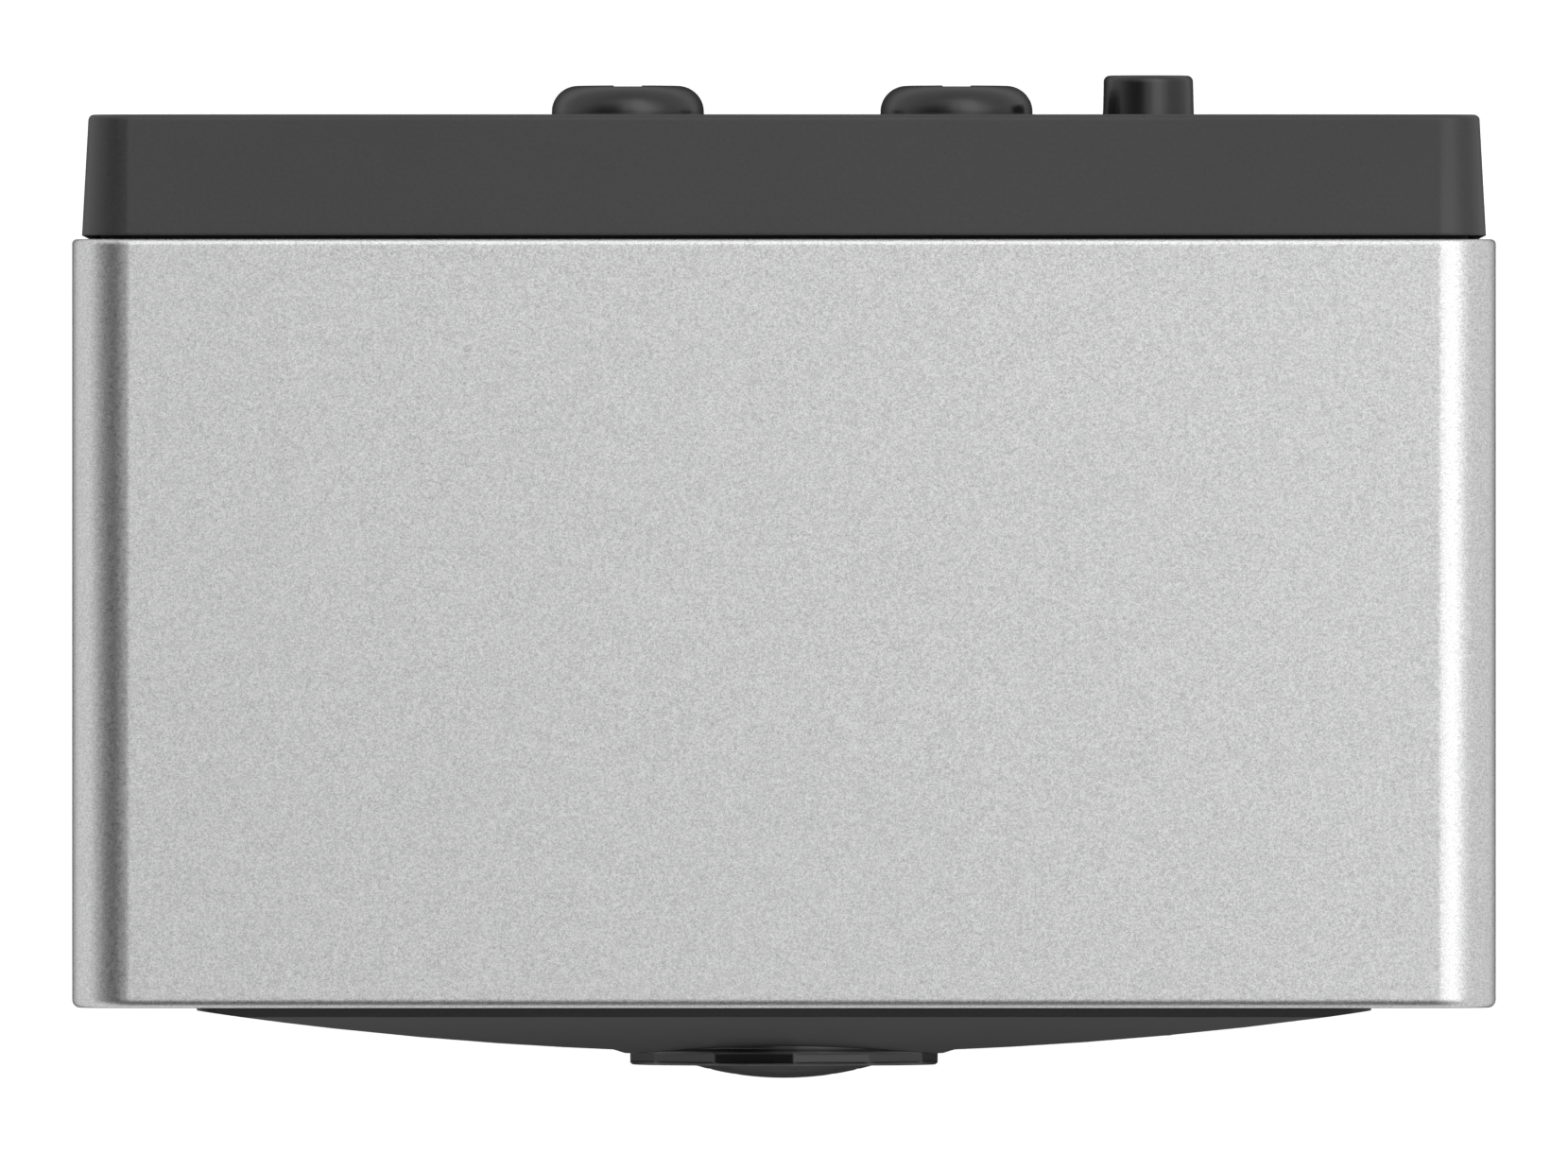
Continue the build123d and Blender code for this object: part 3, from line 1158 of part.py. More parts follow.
SLIDER_SET_BACK = 0.02
SLIDER_FLOAT = 0.06
SLIDER_CORNER = 0.9
SLIDER_OUT = -WIDTH / 2 + SLIDER_SET_BACK
SLIDER_BACK = -WIDTH / 2 + POCKET_DEPTH - SLIDER_FLOAT
SLIDER_HALF_Y = 3.1
SLIDER_EDGE = 0.25
GROOVE_PITCH = 1.3
GROOVE_ROWS = 7
GROOVE_HEIGHT = 0.45
GROOVE_DEPTH = 0.3
RIB_HALF = 0.365
RIB_PROUD = 0.05
RIB_HALF_LENGTH = 4.8
with BuildPart() as transport_slider:
    with BuildSketch(at_side(SLIDER_OUT)):
        with Locations((SLIDER_Y, SLIDER_Z)):
            RectangleRounded(2 * SLIDER_HALF_Y, SLIDER_LENGTH, SLIDER_CORNER)
    extrude(amount=SLIDER_BACK - SLIDER_OUT)
    chamfer(faces().sort_by(Axis.X)[0].edges(), SLIDER_EDGE)
    with BuildSketch(at_side(SLIDER_OUT)):
        with Locations((SLIDER_Y, SLIDER_Z)):
            with GridLocations(1, GROOVE_PITCH, 1, GROOVE_ROWS):
                Rectangle(2 * SLIDER_HALF_Y, GROOVE_HEIGHT)
    extrude(amount=GROOVE_DEPTH, mode=Mode.SUBTRACT)
    with BuildSketch(at_side(-WIDTH / 2 - RIB_PROUD)):
        with Locations((SLIDER_Y, SLIDER_Z)):
            RectangleRounded(2 * RIB_HALF, 2 * RIB_HALF_LENGTH, RIB_HALF / 2)
    extrude(amount=POCKET_DEPTH / 2)
    with BuildSketch(at_side(SLIDER_BACK)):
        with Locations((SLIDER_Y, SLIDER_Z)):
            Rectangle(2 * STEM_HALF_Y, 2 * STEM_HALF_Z)
    extrude(amount=LINK_OUT - SLIDER_BACK)
finish(transport_slider, "transport_slider")

# ---------------------------------------------------------------- main board and what it carries
BOARD_HALF = 30.4
BOARD_LOW = 43.6
BOARD_TOP = 109.5
NOTCH_X = -28.9
NOTCH_LOW = 84.4
NOTCH_TOP = 92.4
POT_HALF = 4.0
POT_BACK = 12.0
POT_COLLAR = 2.4
POT_CORNER = 0.5
POT_COLLAR_BACK = 15.2
KNOB_STEM = 1.5

with BuildPart() as main_board:
    with BuildSketch(at_depth(BOARD_BACK)):
        with Locations((0, (BOARD_LOW + BOARD_TOP) / 2)):
            RectangleRounded(2 * BOARD_HALF, BOARD_TOP - BOARD_LOW, BOARD_CORNER)
        with Locations((NOTCH_X, (NOTCH_LOW + NOTCH_TOP) / 2)):
            Rectangle(WIDTH, NOTCH_TOP - NOTCH_LOW, align=(Align.MAX, Align.CENTER), mode=Mode.SUBTRACT)
        with Locations(*four_corners(BOARD_POST_X, BOARD_POST_Z)):
            Circle(SCREW_CLEARANCE, mode=Mode.SUBTRACT)
    extrude(amount=BOARD_BACK - BOARD_FRONT)
finish(main_board, "main_board")


# two trimmer potentiometers with hollow collars for the knobs' stems
POT_PLACES = ((LEVEL_KNOB_X, KNOB_Z), (SPEED_KNOB_X, KNOB_Z))
with BuildPart() as trim_pots:
    with BuildSketch(at_depth(POT_BACK)):
        with Locations(*POT_PLACES):
            RectangleRounded(2 * POT_HALF, 2 * POT_HALF, POT_CORNER)
    extrude(amount=POT_BACK - BOARD_BACK)
    with BuildSketch(at_depth(POT_COLLAR_BACK)):
        with Locations(*POT_PLACES):
            Circle(POT_COLLAR)
            Circle(KNOB_STEM + RUNNING_GAP, mode=Mode.SUBTRACT)
    extrude(amount=POT_COLLAR_BACK - POT_BACK)
finish(trim_pots, "trim_pots")

CUE_SWITCH_SIZE = 6.0
CUE_SWITCH_BACK = 13.0
CUE_PLUNGER_BACK = 15.3
MODE_SWITCH_X = -26.6
MODE_SWITCH_BACK = 11.0
MODE_SWITCH_WIDTH = 3.6
MODE_SWITCH_LENGTH = 14.0
# push switches behind the cue button and the record button, and the mode switch beside the thumb slide
with BuildPart() as board_switches:
    with BuildSketch(at_depth(CUE_SWITCH_BACK)):
        with Locations((CUE_BUTTON_X, KNOB_Z)):
            RectangleRounded(CUE_SWITCH_SIZE, CUE_SWITCH_SIZE, POT_CORNER)
    extrude(amount=CUE_SWITCH_BACK - BOARD_BACK)
    with BuildSketch(at_depth(CUE_PLUNGER_BACK)):
        with Locations((CUE_BUTTON_X, KNOB_Z)):
            Circle(SWITCH_PLUNGER)
    extrude(amount=CUE_PLUNGER_BACK - CUE_SWITCH_BACK)
    with BuildSketch(at_depth(MODE_SWITCH_BACK)):
        with Locations((MODE_SWITCH_X, SLIDER_Z - BRIDGE_TRAVEL / 2)):
            RectangleRounded(MODE_SWITCH_WIDTH, MODE_SWITCH_LENGTH, POT_CORNER)
    extrude(amount=MODE_SWITCH_BACK - BOARD_BACK)
    with BuildSketch(at_depth(CONTROL_BOARD_FRONT)):
        with Locations((0, DIAL_Z)):
            RectangleRounded(SWITCH_SIZE, SWITCH_SIZE, POT_CORNER)
    extrude(amount=CONTROL_BOARD_FRONT - SWITCH_FRONT)
    with BuildSketch(at_depth(SWITCH_FRONT)):
        with Locations((0, DIAL_Z)):
            Circle(SWITCH_PLUNGER)
    extrude(amount=SWITCH_FRONT - PLUNGER_FRONT)
finish(board_switches, "board_switches")

CHIP_X = -6.0
CHIP_Z = 76.0
CHIP_WIDTH = 6.0
CHIP_LENGTH = 11.0
CHIP_HEIGHT = 2.4
LEAD_COUNT = 8
LEAD_PITCH = 1.27
LEAD_SPAN = 8.6
LEAD_WIDTH = 0.45
LEAD_HEIGHT = 0.7
# x, z, radius and height of each capacitor can
CAPACITORS = (
    (10.0, 62.0, 3.1, 8.0),
    (18.0, 62.0, 3.1, 8.0),
    (10.0, 72.0, 2.5, 6.5),
    (17.0, 72.0, 2.0, 5.5),
    (-20.0, 58.0, 4.0, 9.0),
)
with BuildPart() as board_components:
    with BuildSketch(at_depth(BOARD_BACK + CHIP_HEIGHT)):
        with Locations((CHIP_X, CHIP_Z)):
            Rectangle(CHIP_WIDTH, CHIP_LENGTH)
    extrude(amount=CHIP_HEIGHT)
    with BuildSketch(at_depth(BOARD_BACK + LEAD_HEIGHT)):
        with Locations((CHIP_X, CHIP_Z)):
            with GridLocations(1, LEAD_PITCH, 1, LEAD_COUNT):
                Rectangle(LEAD_SPAN, LEAD_WIDTH)
    extrude(amount=LEAD_HEIGHT)
    for cap_x, cap_z, cap_radius, cap_height in CAPACITORS:
        with BuildSketch(at_depth(BOARD_BACK + cap_height)):
            with Locations((cap_x, cap_z)):
                Circle(cap_radius)
        extrude(amount=cap_height)
finish(board_components, "board_components")

# ---------------------------------------------------------------- jacks
PLUG_RADIUS = 1.8
PLUG_DEPTH = 11.0
JACK_BODY = 6.0
JACK_LENGTH = 11.8
JACK_CORNER = 0.5
INLET_RADIUS = 2.3
INLET_DEPTH = 8.0
INLET_PIN = 0.55


def make_jack(side, z, bore, depth):
    """Jack with a flush round nose in the side wall; side is 1 for the right wall, -1 for the left."""
    wall_in = side * (WIDTH / 2 - SIDE_WALL)
    with BuildPart() as jack:
        with BuildSketch(at_side(wall_in)):
            with Locations((JACK_Y, z)):
                RectangleRounded(JACK_BODY, JACK_BODY, JACK_CORNER)
        extrude(amount=-side * JACK_LENGTH)
        with BuildSketch(at_side(wall_in)):
            with Locations((JACK_Y, z)):
                Circle(JACK_NOSE)
        extrude(amount=side * SIDE_WALL)
        with BuildSketch(at_side(side * WIDTH / 2)):
            with Locations((JACK_Y, z)):
                Circle(bore)
        extrude(amount=-side * depth, mode=Mode.SUBTRACT)
    return jack


finish(make_jack(1, EARPHONE_Z, PLUG_RADIUS, PLUG_DEPTH), "earphone_jack")
finish(make_jack(1, MICROPHONE_Z, PLUG_RADIUS, PLUG_DEPTH), "microphone_jack")

with BuildPart() as power_jack:
    add(make_jack(-1, POWER_Z, INLET_RADIUS, INLET_DEPTH).part)
    with BuildSketch(at_side(-WIDTH / 2 + INLET_DEPTH)):
        with Locations((JACK_Y, POWER_Z)):
            Circle(INLET_PIN)
    extrude(amount=-INLET_DEPTH + POCKET_DEPTH)
finish(power_jack, "power_jack")

# ---------------------------------------------------------------- rear seal and rear cover
SEAL_OUTER = 31.2
SEAL_INNER = 30.75
LIP_OUTER = 30.7
LIP_WALL = 1.0
LIP_FRONT = 13.6
LIP_ROOT = 0.6
SEAL_CORNER = 1.2
COVER_WALL_HALF = 30.4
COVER_EDGE = 0.26
COVER_DRAFT = degrees(atan2(COVER_HALF_JOINT - COVER_HALF_BACK, COVER_BACK - COVER_JOINT))
RISE = MID_Z - WIDTH / 2
COVER_BOSS = 2.3
SCREW_HEAD = 1.9
SCREW_CONE = 45.0
COVER_SCREW_HOLE = 1.05
COVER_SCREW_SHANK = 0.8
STEM_RUN = 0.1
CUE_RADIUS = 2.1
CUE_TOP_RADIUS = 2.05
CUE_HOLE = 2.2
DOOR_HALF = 27.0
BAY_LOW = 8.2
BAY_TOP = 41.5
LID_GAP = 0.12
LID_THICK = 2.0
LID_PIN_Y = COVER_BACK - LID_THICK / 2
LID_PIN_Z = BAY_LOW + LID_GAP + LID_THICK / 2
LID_PIN_RADIUS = 0.5
LID_PIN_HALF = 28.4
LUG_OUT = 29.0
LUG_FRONT = 18.45
LUG_HEIGHT = 3.0


def frame_sketch(half, corner):
    """Rounded outline that keeps the same margin to the housing on all four sides."""
    with Locations((0, MID_Z)):
        RectangleRounded(2 * half, 2 * (half + RISE), corner)


with BuildPart() as rear_seal:
    with BuildSketch(at_depth(COVER_JOINT)):
        frame_sketch(SEAL_OUTER, SEAL_CORNER + SEAL_OUTER - SEAL_INNER)
        with Locations((0, MID_Z)):
            RectangleRounded(2 * SEAL_INNER, 2 * (SEAL_INNER + RISE), SEAL_CORNER, mode=Mode.SUBTRACT)
    extrude(amount=COVER_JOINT - BACK_RIM)
finish(rear_seal, "rear_seal")

with BuildPart() as back_cover:
    with BuildSketch(at_depth(COVER_JOINT)):
        frame_sketch(COVER_HALF_JOINT, COVER_CORNER)
    extrude(amount=COVER_JOINT - COVER_BACK, taper=COVER_DRAFT)
    fillet(faces().sort_by(Axis.Y)[-1].edges(), COVER_EDGE)
    with BuildSketch(at_depth(COVER_INNER)):
        frame_sketch(COVER_WALL_HALF, 1)
    extrude(amount=COVER_INNER - COVER_JOINT, mode=Mode.SUBTRACT)
    # lip that locates the cover inside the housing
    with BuildSketch(at_depth(COVER_JOINT + LIP_ROOT)):
        frame_sketch(LIP_OUTER, SEAL_CORNER)
        with Locations((0, MID_Z)):
            RectangleRounded(
                2 * (LIP_OUTER - LIP_WALL),
                2 * (LIP_OUTER - LIP_WALL + RISE),
                SEAL_CORNER - LIP_WALL / 2,
                mode=Mode.SUBTRACT,
            )
    extrude(amount=COVER_JOINT + LIP_ROOT - LIP_FRONT)
    with BuildSketch(at_depth(COVER_INNER)):
        with Locations(*four_corners(POST_X, COVER_POST_Z)):
            Circle(COVER_BOSS)
    extrude(amount=COVER_INNER - COVER_POST_END)
    # battery opening and the lugs that carry the lid's pin
    with BuildSketch(at_depth(COVER_INNER)):
        with Locations((-(DOOR_HALF + LUG_OUT) / 2, LID_PIN_Z), ((DOOR_HALF + LUG_OUT) / 2, LID_PIN_Z)):
            Rectangle(LUG_OUT - DOOR_HALF, LUG_HEIGHT)
    extrude(amount=COVER_INNER - LUG_FRONT)
    with BuildSketch(at_depth(COVER_BACK)):
        with Locations((0, (BAY_LOW + BAY_TOP) / 2)):
            Rectangle(2 * DOOR_HALF, BAY_TOP - BAY_LOW)
    extrude(amount=COVER_BACK - LUG_FRONT, mode=Mode.SUBTRACT)
    with BuildSketch(at_side(-LID_PIN_HALF)):
        with Locations((LID_PIN_Y, LID_PIN_Z)):
            Circle(LID_PIN_RADIUS)
    extrude(amount=2 * LID_PIN_HALF, mode=Mode.SUBTRACT)
    # holes for the two knobs' stems and the cue button
    with BuildSketch(at_depth(COVER_BACK)):
        with Locations((LEVEL_KNOB_X, KNOB_Z), (SPEED_KNOB_X, KNOB_Z)):
            Circle(KNOB_STEM + STEM_RUN)
        with Locations((CUE_BUTTON_X, KNOB_Z)):
            Circle(CUE_HOLE)
    extrude(amount=COVER_BACK - COVER_INNER, mode=Mode.SUBTRACT)
    # countersunk screw holes
    with BuildSketch(at_depth(COVER_BACK)):
        with Locations(*four_corners(POST_X, COVER_POST_Z)):
            Circle(COVER_SCREW_HOLE)
    extrude(amount=COVER_BACK - COVER_POST_END, mode=Mode.SUBTRACT)
    with BuildSketch(at_depth(COVER_BACK)):
        with Locations(*four_corners(POST_X, COVER_POST_Z)):
            Circle(SCREW_HEAD)
    extrude(amount=SCREW_HEAD - COVER_SCREW_HOLE, taper=SCREW_CONE, mode=Mode.SUBTRACT)
finish(back_cover, "back_cover")

RECESS = 0.12
DRIVE_WIDTH = 0.5
DRIVE_LENGTH = 2.4
DRIVE_DEPTH = 0.6
COVER_SCREW_LENGTH = 12.0
CONE_HEIGHT = SCREW_HEAD - COVER_SCREW_HOLE
with BuildPart() as cover_screws:
    with BuildSketch(at_depth(COVER_BACK - RECESS)):
        with Locations(*four_corners(POST_X, COVER_POST_Z)):
            Circle(SCREW_HEAD - RECESS)
    extrude(amount=CONE_HEIGHT - RECESS, taper=SCREW_CONE)
    with BuildSketch(at_depth(COVER_BACK - CONE_HEIGHT)):
        with Locations(*four_corners(POST_X, COVER_POST_Z)):
            Circle(COVER_SCREW_SHANK)
    extrude(amount=COVER_SCREW_LENGTH)
    with BuildSketch(at_depth(COVER_BACK - RECESS)):
        with Locations(*four_corners(POST_X, COVER_POST_Z)):
            Rectangle(DRIVE_LENGTH, DRIVE_WIDTH)
            Rectangle(DRIVE_WIDTH, DRIVE_LENGTH)
    extrude(amount=DRIVE_DEPTH, mode=Mode.SUBTRACT)
finish(cover_screws, "cover_screws")

LID_HALF = DOOR_HALF - LID_GAP
LID_TOP = BAY_TOP - LID_GAP
GRIP_ROWS = 5
GRIP_PITCH = 1.4
GRIP_Z = 36.0
GRIP_WIDTH = 18.0
GRIP_HEIGHT = 0.7
GRIP_DEPTH = 0.45
with BuildPart() as battery_lid:
    with BuildSketch(at_side(-LID_HALF)):
        with BuildLine():
            Line((COVER_BACK, LID_PIN_Z), (COVER_BACK, LID_TOP))
            Line((COVER_BACK, LID_TOP), (COVER_BACK - LID_THICK, LID_TOP))
            Line((COVER_BACK - LID_THICK, LID_TOP), (COVER_BACK - LID_THICK, LID_PIN_Z))
            ThreePointArc(
                (COVER_BACK - LID_THICK, LID_PIN_Z),
                (LID_PIN_Y, LID_PIN_Z - LID_THICK / 2),
                (COVER_BACK, LID_PIN_Z),
            )
        make_face()
        with Locations((LID_PIN_Y, LID_PIN_Z)):
            Circle(LID_PIN_RADIUS, mode=Mode.SUBTRACT)
    extrude(amount=2 * LID_HALF)
    with BuildSketch(at_depth(COVER_BACK)):
        with Locations((0, GRIP_Z)):
            with GridLocations(1, GRIP_PITCH, 1, GRIP_ROWS):
                SlotOverall(GRIP_WIDTH, GRIP_HEIGHT)
    extrude(amount=GRIP_DEPTH, mode=Mode.SUBTRACT)
finish(battery_lid, "battery_lid")

# the door's pin stands at its left edge, the lid's pin lies at its lower edge
with BuildPart() as hinge_pins:
    with BuildSketch(Plane.XY.offset(BAND_LOW - PIN_ENGAGE)):
        with Locations((HINGE_X, HINGE_Y)):
            Circle(PIN_RADIUS)
    extrude(amount=BAND_TOP - BAND_LOW + 2 * PIN_ENGAGE)
    with BuildSketch(at_side(-LID_PIN_HALF)):
        with Locations((LID_PIN_Y, LID_PIN_Z)):
            Circle(LID_PIN_RADIUS)
    extrude(amount=2 * LID_PIN_HALF)
finish(hinge_pins, "hinge_pins")

# ---------------------------------------------------------------- knobs and cue button
KNOB_FOOT = COVER_BACK + 0.06
KNOB_BASE_RADIUS = 3.5
KNOB_LIP = 0.04
KNOB_FLAT = 2.3
KNOB_HEIGHT = 1.47
KNOB_ROUND = KNOB_BASE_RADIUS - KNOB_FLAT
KNOB_STEM_END = 13.2
NOTCH_WIDTH = 1.3
NOTCH_DEPTH = 0.05
COIN_WIDTH = 0.9
COIN_LENGTH = 3.6
COIN_DEPTH = 0.7


def make_knob(x):
    """Low domed knob with a shallow band across its top and a blind coin slot in the band."""
    top = COVER_BACK + KNOB_HEIGHT
    with BuildPart() as knob:
        with BuildSketch(Plane.XY.offset(KNOB_Z)):
            with BuildLine():
                Polyline(
                    (x, KNOB_STEM_END),
                    (x + KNOB_STEM, KNOB_STEM_END),
                    (x + KNOB_STEM, KNOB_FOOT),
                    (x + KNOB_BASE_RADIUS + KNOB_LIP, KNOB_FOOT),
                    (x + KNOB_BASE_RADIUS + KNOB_LIP, KNOB_FOOT + KNOB_LIP),
                    (x + KNOB_BASE_RADIUS, KNOB_FOOT + 2 * KNOB_LIP),
                    (x + KNOB_BASE_RADIUS, top - KNOB_ROUND),
                )
                RadiusArc((x + KNOB_BASE_RADIUS, top - KNOB_ROUND), (x + KNOB_FLAT, top), -KNOB_ROUND)
                Polyline((x + KNOB_FLAT, top), (x, top), (x, KNOB_STEM_END))
            make_face()
        revolve(axis=Axis((x, 0, KNOB_Z), (0, 1, 0)))
        with BuildSketch(at_depth(top)):
            with Locations((x, KNOB_Z)):
                Rectangle(NOTCH_WIDTH, 2 * KNOB_BASE_RADIUS)
        extrude(amount=NOTCH_DEPTH, mode=Mode.SUBTRACT)
        with BuildSketch(at_depth(top)):
            with Locations((x, KNOB_Z)):
                SlotOverall(COIN_LENGTH, COIN_WIDTH, rotation=90)
        extrude(amount=COIN_DEPTH, mode=Mode.SUBTRACT)
    return knob


finish(make_knob(LEVEL_KNOB_X), "level_knob")
finish(make_knob(SPEED_KNOB_X), "speed_knob")

CUE_TOP = 23.05
CUE_EDGE = 0.28
CUE_FLANGE = 2.9
CUE_FLANGE_BACK = 19.45
CUE_FLANGE_FRONT = 18.5
CUE_STEM = 1.2
CUE_STEM_END = 16.8
with BuildPart() as cue_button:
    with BuildSketch(Plane.XY.offset(KNOB_Z)):
        with BuildLine():
            Polyline(
                (CUE_BUTTON_X, CUE_STEM_END),
                (CUE_BUTTON_X + CUE_STEM, CUE_STEM_END),
                (CUE_BUTTON_X + CUE_STEM, CUE_FLANGE_FRONT),
                (CUE_BUTTON_X + CUE_FLANGE, CUE_FLANGE_FRONT),
                (CUE_BUTTON_X + CUE_FLANGE, CUE_FLANGE_BACK),
                (CUE_BUTTON_X + CUE_RADIUS, CUE_FLANGE_BACK),
                (CUE_BUTTON_X + CUE_RADIUS, COVER_BACK),
                (CUE_BUTTON_X + CUE_TOP_RADIUS, CUE_TOP),
                (CUE_BUTTON_X, CUE_TOP),
                close=True,
            )
        make_face()
    revolve(axis=Axis((CUE_BUTTON_X, 0, KNOB_Z), (0, 1, 0)))
    fillet(faces().sort_by(Axis.Y)[-1].edges(), CUE_EDGE)
finish(cue_button, "cue_button")

# ---------------------------------------------------------------- battery bay
TRAY_HALF = 27.9
TRAY_HEIGHT = 34.6
TRAY_WALL = 1.0
TRAY_FRONT = 3.4
TRAY_BACK = 18.3
CONTACT_THICK = 0.4
CONTACT_FACE = TRAY_HALF - TRAY_WALL - CONTACT_THICK
CONTACT_HALF = 5.5
NUB_RADIUS = 2.6
NUB_LENGTH = 1.2
CELL_LOW_Z = TRAY_Z - CELL_PITCH / 2
CELL_HIGH_Z = TRAY_Z + CELL_PITCH / 2
SPRING_BOW = 0.35

with BuildPart() as battery_tray:
    with BuildSketch(at_depth(TRAY_BACK)):
        with Locations((0, TRAY_Z)):
            Rectangle(2 * TRAY_HALF, TRAY_HEIGHT)
    extrude(amount=TRAY_BACK - TRAY_FRONT)
    with BuildSketch(at_depth(TRAY_BACK)):
        with Locations((0, TRAY_Z)):
            Rectangle(2 * (TRAY_HALF - TRAY_WALL), TRAY_HEIGHT - 2 * TRAY_WALL)
    extrude(amount=TRAY_BACK - TRAY_FRONT - TRAY_WALL, mode=Mode.SUBTRACT)
finish(battery_tray, "battery_tray")


CELL_EDGE = 0.5


def make_cell(z, side):
    """AA cell lying across the machine; side is the end its positive nub points to."""
    tip = side * CONTACT_FACE
    shoulder = tip - side * NUB_LENGTH
    with BuildPart() as cell:
        with BuildSketch(at_side(shoulder)):
            with Locations((CELL_Y, z)):
                Circle(CELL_RADIUS)
        extrude(amount=-side * (CELL_LENGTH - NUB_LENGTH))
        fillet(edges().filter_by(GeomType.CIRCLE), CELL_EDGE)
        with BuildSketch(at_side(shoulder)):
            with Locations((CELL_Y, z)):
                Circle(NUB_RADIUS)
        extrude(amount=side * NUB_LENGTH)
    return cell


with BuildPart() as battery_cells:
    add(make_cell(CELL_HIGH_Z, 1).part)
    add(make_cell(CELL_LOW_Z, -1).part)
finish(battery_cells, "battery_cells")

SPRING_GAP = 2 * CONTACT_FACE - CELL_LENGTH
SPRING_WIDTH = 5.0
SPRING_INSET = 1.0
# two separate plates on the right, one joined plate on the left, and a bowed spring under each flat cell end
with BuildPart() as battery_contacts:
    with BuildSketch(at_side(CONTACT_FACE)):
        with Locations((CELL_Y, CELL_LOW_Z), (CELL_Y, CELL_HIGH_Z)):
            Rectangle(2 * CONTACT_HALF, 2 * CONTACT_HALF)
    extrude(amount=CONTACT_THICK)
    with BuildSketch(at_side(-CONTACT_FACE - CONTACT_THICK)):
        with Locations((CELL_Y, TRAY_Z)):
            Rectangle(2 * CONTACT_HALF, CELL_PITCH + 2 * CONTACT_HALF)
    extrude(amount=CONTACT_THICK)
    for spring_z, spring_side in ((CELL_LOW_Z, 1), (CELL_HIGH_Z, -1)):
        root = spring_side * CONTACT_FACE
        crest = root - spring_side * SPRING_GAP
        with BuildSketch(Plane.XY.offset(spring_z - SPRING_WIDTH / 2)):
            with BuildLine():
                Polyline(
                    (root, CELL_Y - CONTACT_HALF + SPRING_INSET),
                    (crest, CELL_Y - SPRING_INSET),
                    (crest, CELL_Y + SPRING_INSET),
                    (root, CELL_Y + CONTACT_HALF - SPRING_INSET),
                    (root, CELL_Y + CONTACT_HALF - SPRING_INSET - 2 * SPRING_BOW),
                    (crest + spring_side * SPRING_BOW, CELL_Y + SPRING_INSET - SPRING_BOW),
                    (crest + spring_side * SPRING_BOW, CELL_Y - SPRING_INSET + SPRING_BOW),
                    (root, CELL_Y - CONTACT_HALF + SPRING_INSET + 2 * SPRING_BOW),
                    close=True,
                )
            make_face()
        extrude(amount=SPRING_WIDTH)
finish(battery_contacts, "battery_contacts")

# ---------------------------------------------------------------- inner screws
INNER_HEAD = 1.5
INNER_HEAD_THICK = 0.8
POST_BITE = 5.0
BOSS_BITE = 3.4


def make_inner_screws(places, seat, bite):
    """Pan-head screws whose heads sit on the plane at depth seat and whose shanks run forward."""
    with BuildPart() as screws:
        with BuildSketch(at_depth(seat + INNER_HEAD_THICK)):
            with Locations(*places):
                Circle(INNER_HEAD)
        extrude(amount=INNER_HEAD_THICK)
        with BuildSketch(at_depth(seat)):
            with Locations(*places):
                Circle(SCREW_SHANK)
        extrude(amount=bite)
        with BuildSketch(at_depth(seat + INNER_HEAD_THICK)):
            with Locations(*places):
                Rectangle(2 * SCREW_CLEARANCE, DRIVE_WIDTH)
                Rectangle(DRIVE_WIDTH, 2 * SCREW_CLEARANCE)
        extrude(amount=INNER_HEAD_THICK / 2, mode=Mode.SUBTRACT)
    return screws


with BuildPart() as inner_screws:
    add(make_inner_screws(four_corners(DECK_POST_X, DECK_POST_Z), DECK_BACK, POST_BITE).part)
    add(make_inner_screws(four_corners(BOARD_POST_X, BOARD_POST_Z), BOARD_BACK, POST_BITE).part)
    add(make_inner_screws(four_corners(CONTROL_BOSS_X, CONTROL_BOSS_Z), CONTROL_BOARD_BACK, BOSS_BITE).part)
finish(inner_screws, "inner_screws")
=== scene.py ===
import math

import bmesh
import bpy
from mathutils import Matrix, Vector


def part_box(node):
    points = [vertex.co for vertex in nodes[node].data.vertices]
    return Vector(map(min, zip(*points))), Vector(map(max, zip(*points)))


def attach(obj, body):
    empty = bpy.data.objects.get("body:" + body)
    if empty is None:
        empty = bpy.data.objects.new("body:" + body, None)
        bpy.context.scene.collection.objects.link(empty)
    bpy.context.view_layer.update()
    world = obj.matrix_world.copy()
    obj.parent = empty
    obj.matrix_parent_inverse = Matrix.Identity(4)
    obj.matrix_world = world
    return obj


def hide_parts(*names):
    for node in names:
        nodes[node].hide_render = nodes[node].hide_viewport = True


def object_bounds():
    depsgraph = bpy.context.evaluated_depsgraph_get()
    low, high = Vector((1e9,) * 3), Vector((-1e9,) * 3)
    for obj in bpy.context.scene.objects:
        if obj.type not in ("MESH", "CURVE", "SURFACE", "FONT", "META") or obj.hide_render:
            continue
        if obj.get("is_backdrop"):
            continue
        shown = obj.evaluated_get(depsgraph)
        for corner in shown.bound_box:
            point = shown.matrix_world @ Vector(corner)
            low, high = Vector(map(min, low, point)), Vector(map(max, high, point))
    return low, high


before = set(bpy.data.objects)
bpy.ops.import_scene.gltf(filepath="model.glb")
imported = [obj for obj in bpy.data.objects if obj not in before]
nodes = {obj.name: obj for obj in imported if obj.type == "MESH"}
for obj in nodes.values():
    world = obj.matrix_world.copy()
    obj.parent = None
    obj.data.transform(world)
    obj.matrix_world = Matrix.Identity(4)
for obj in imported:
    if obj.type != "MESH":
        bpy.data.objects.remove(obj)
cad_low, cad_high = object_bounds()
MM = 0.001
TOP = cad_high.z

# ---------------------------------------------------------------- camera
# The machine stands upright and is seen from straight above its plain end, from far away.
LENS = 1100.0
SENSOR = 36.0
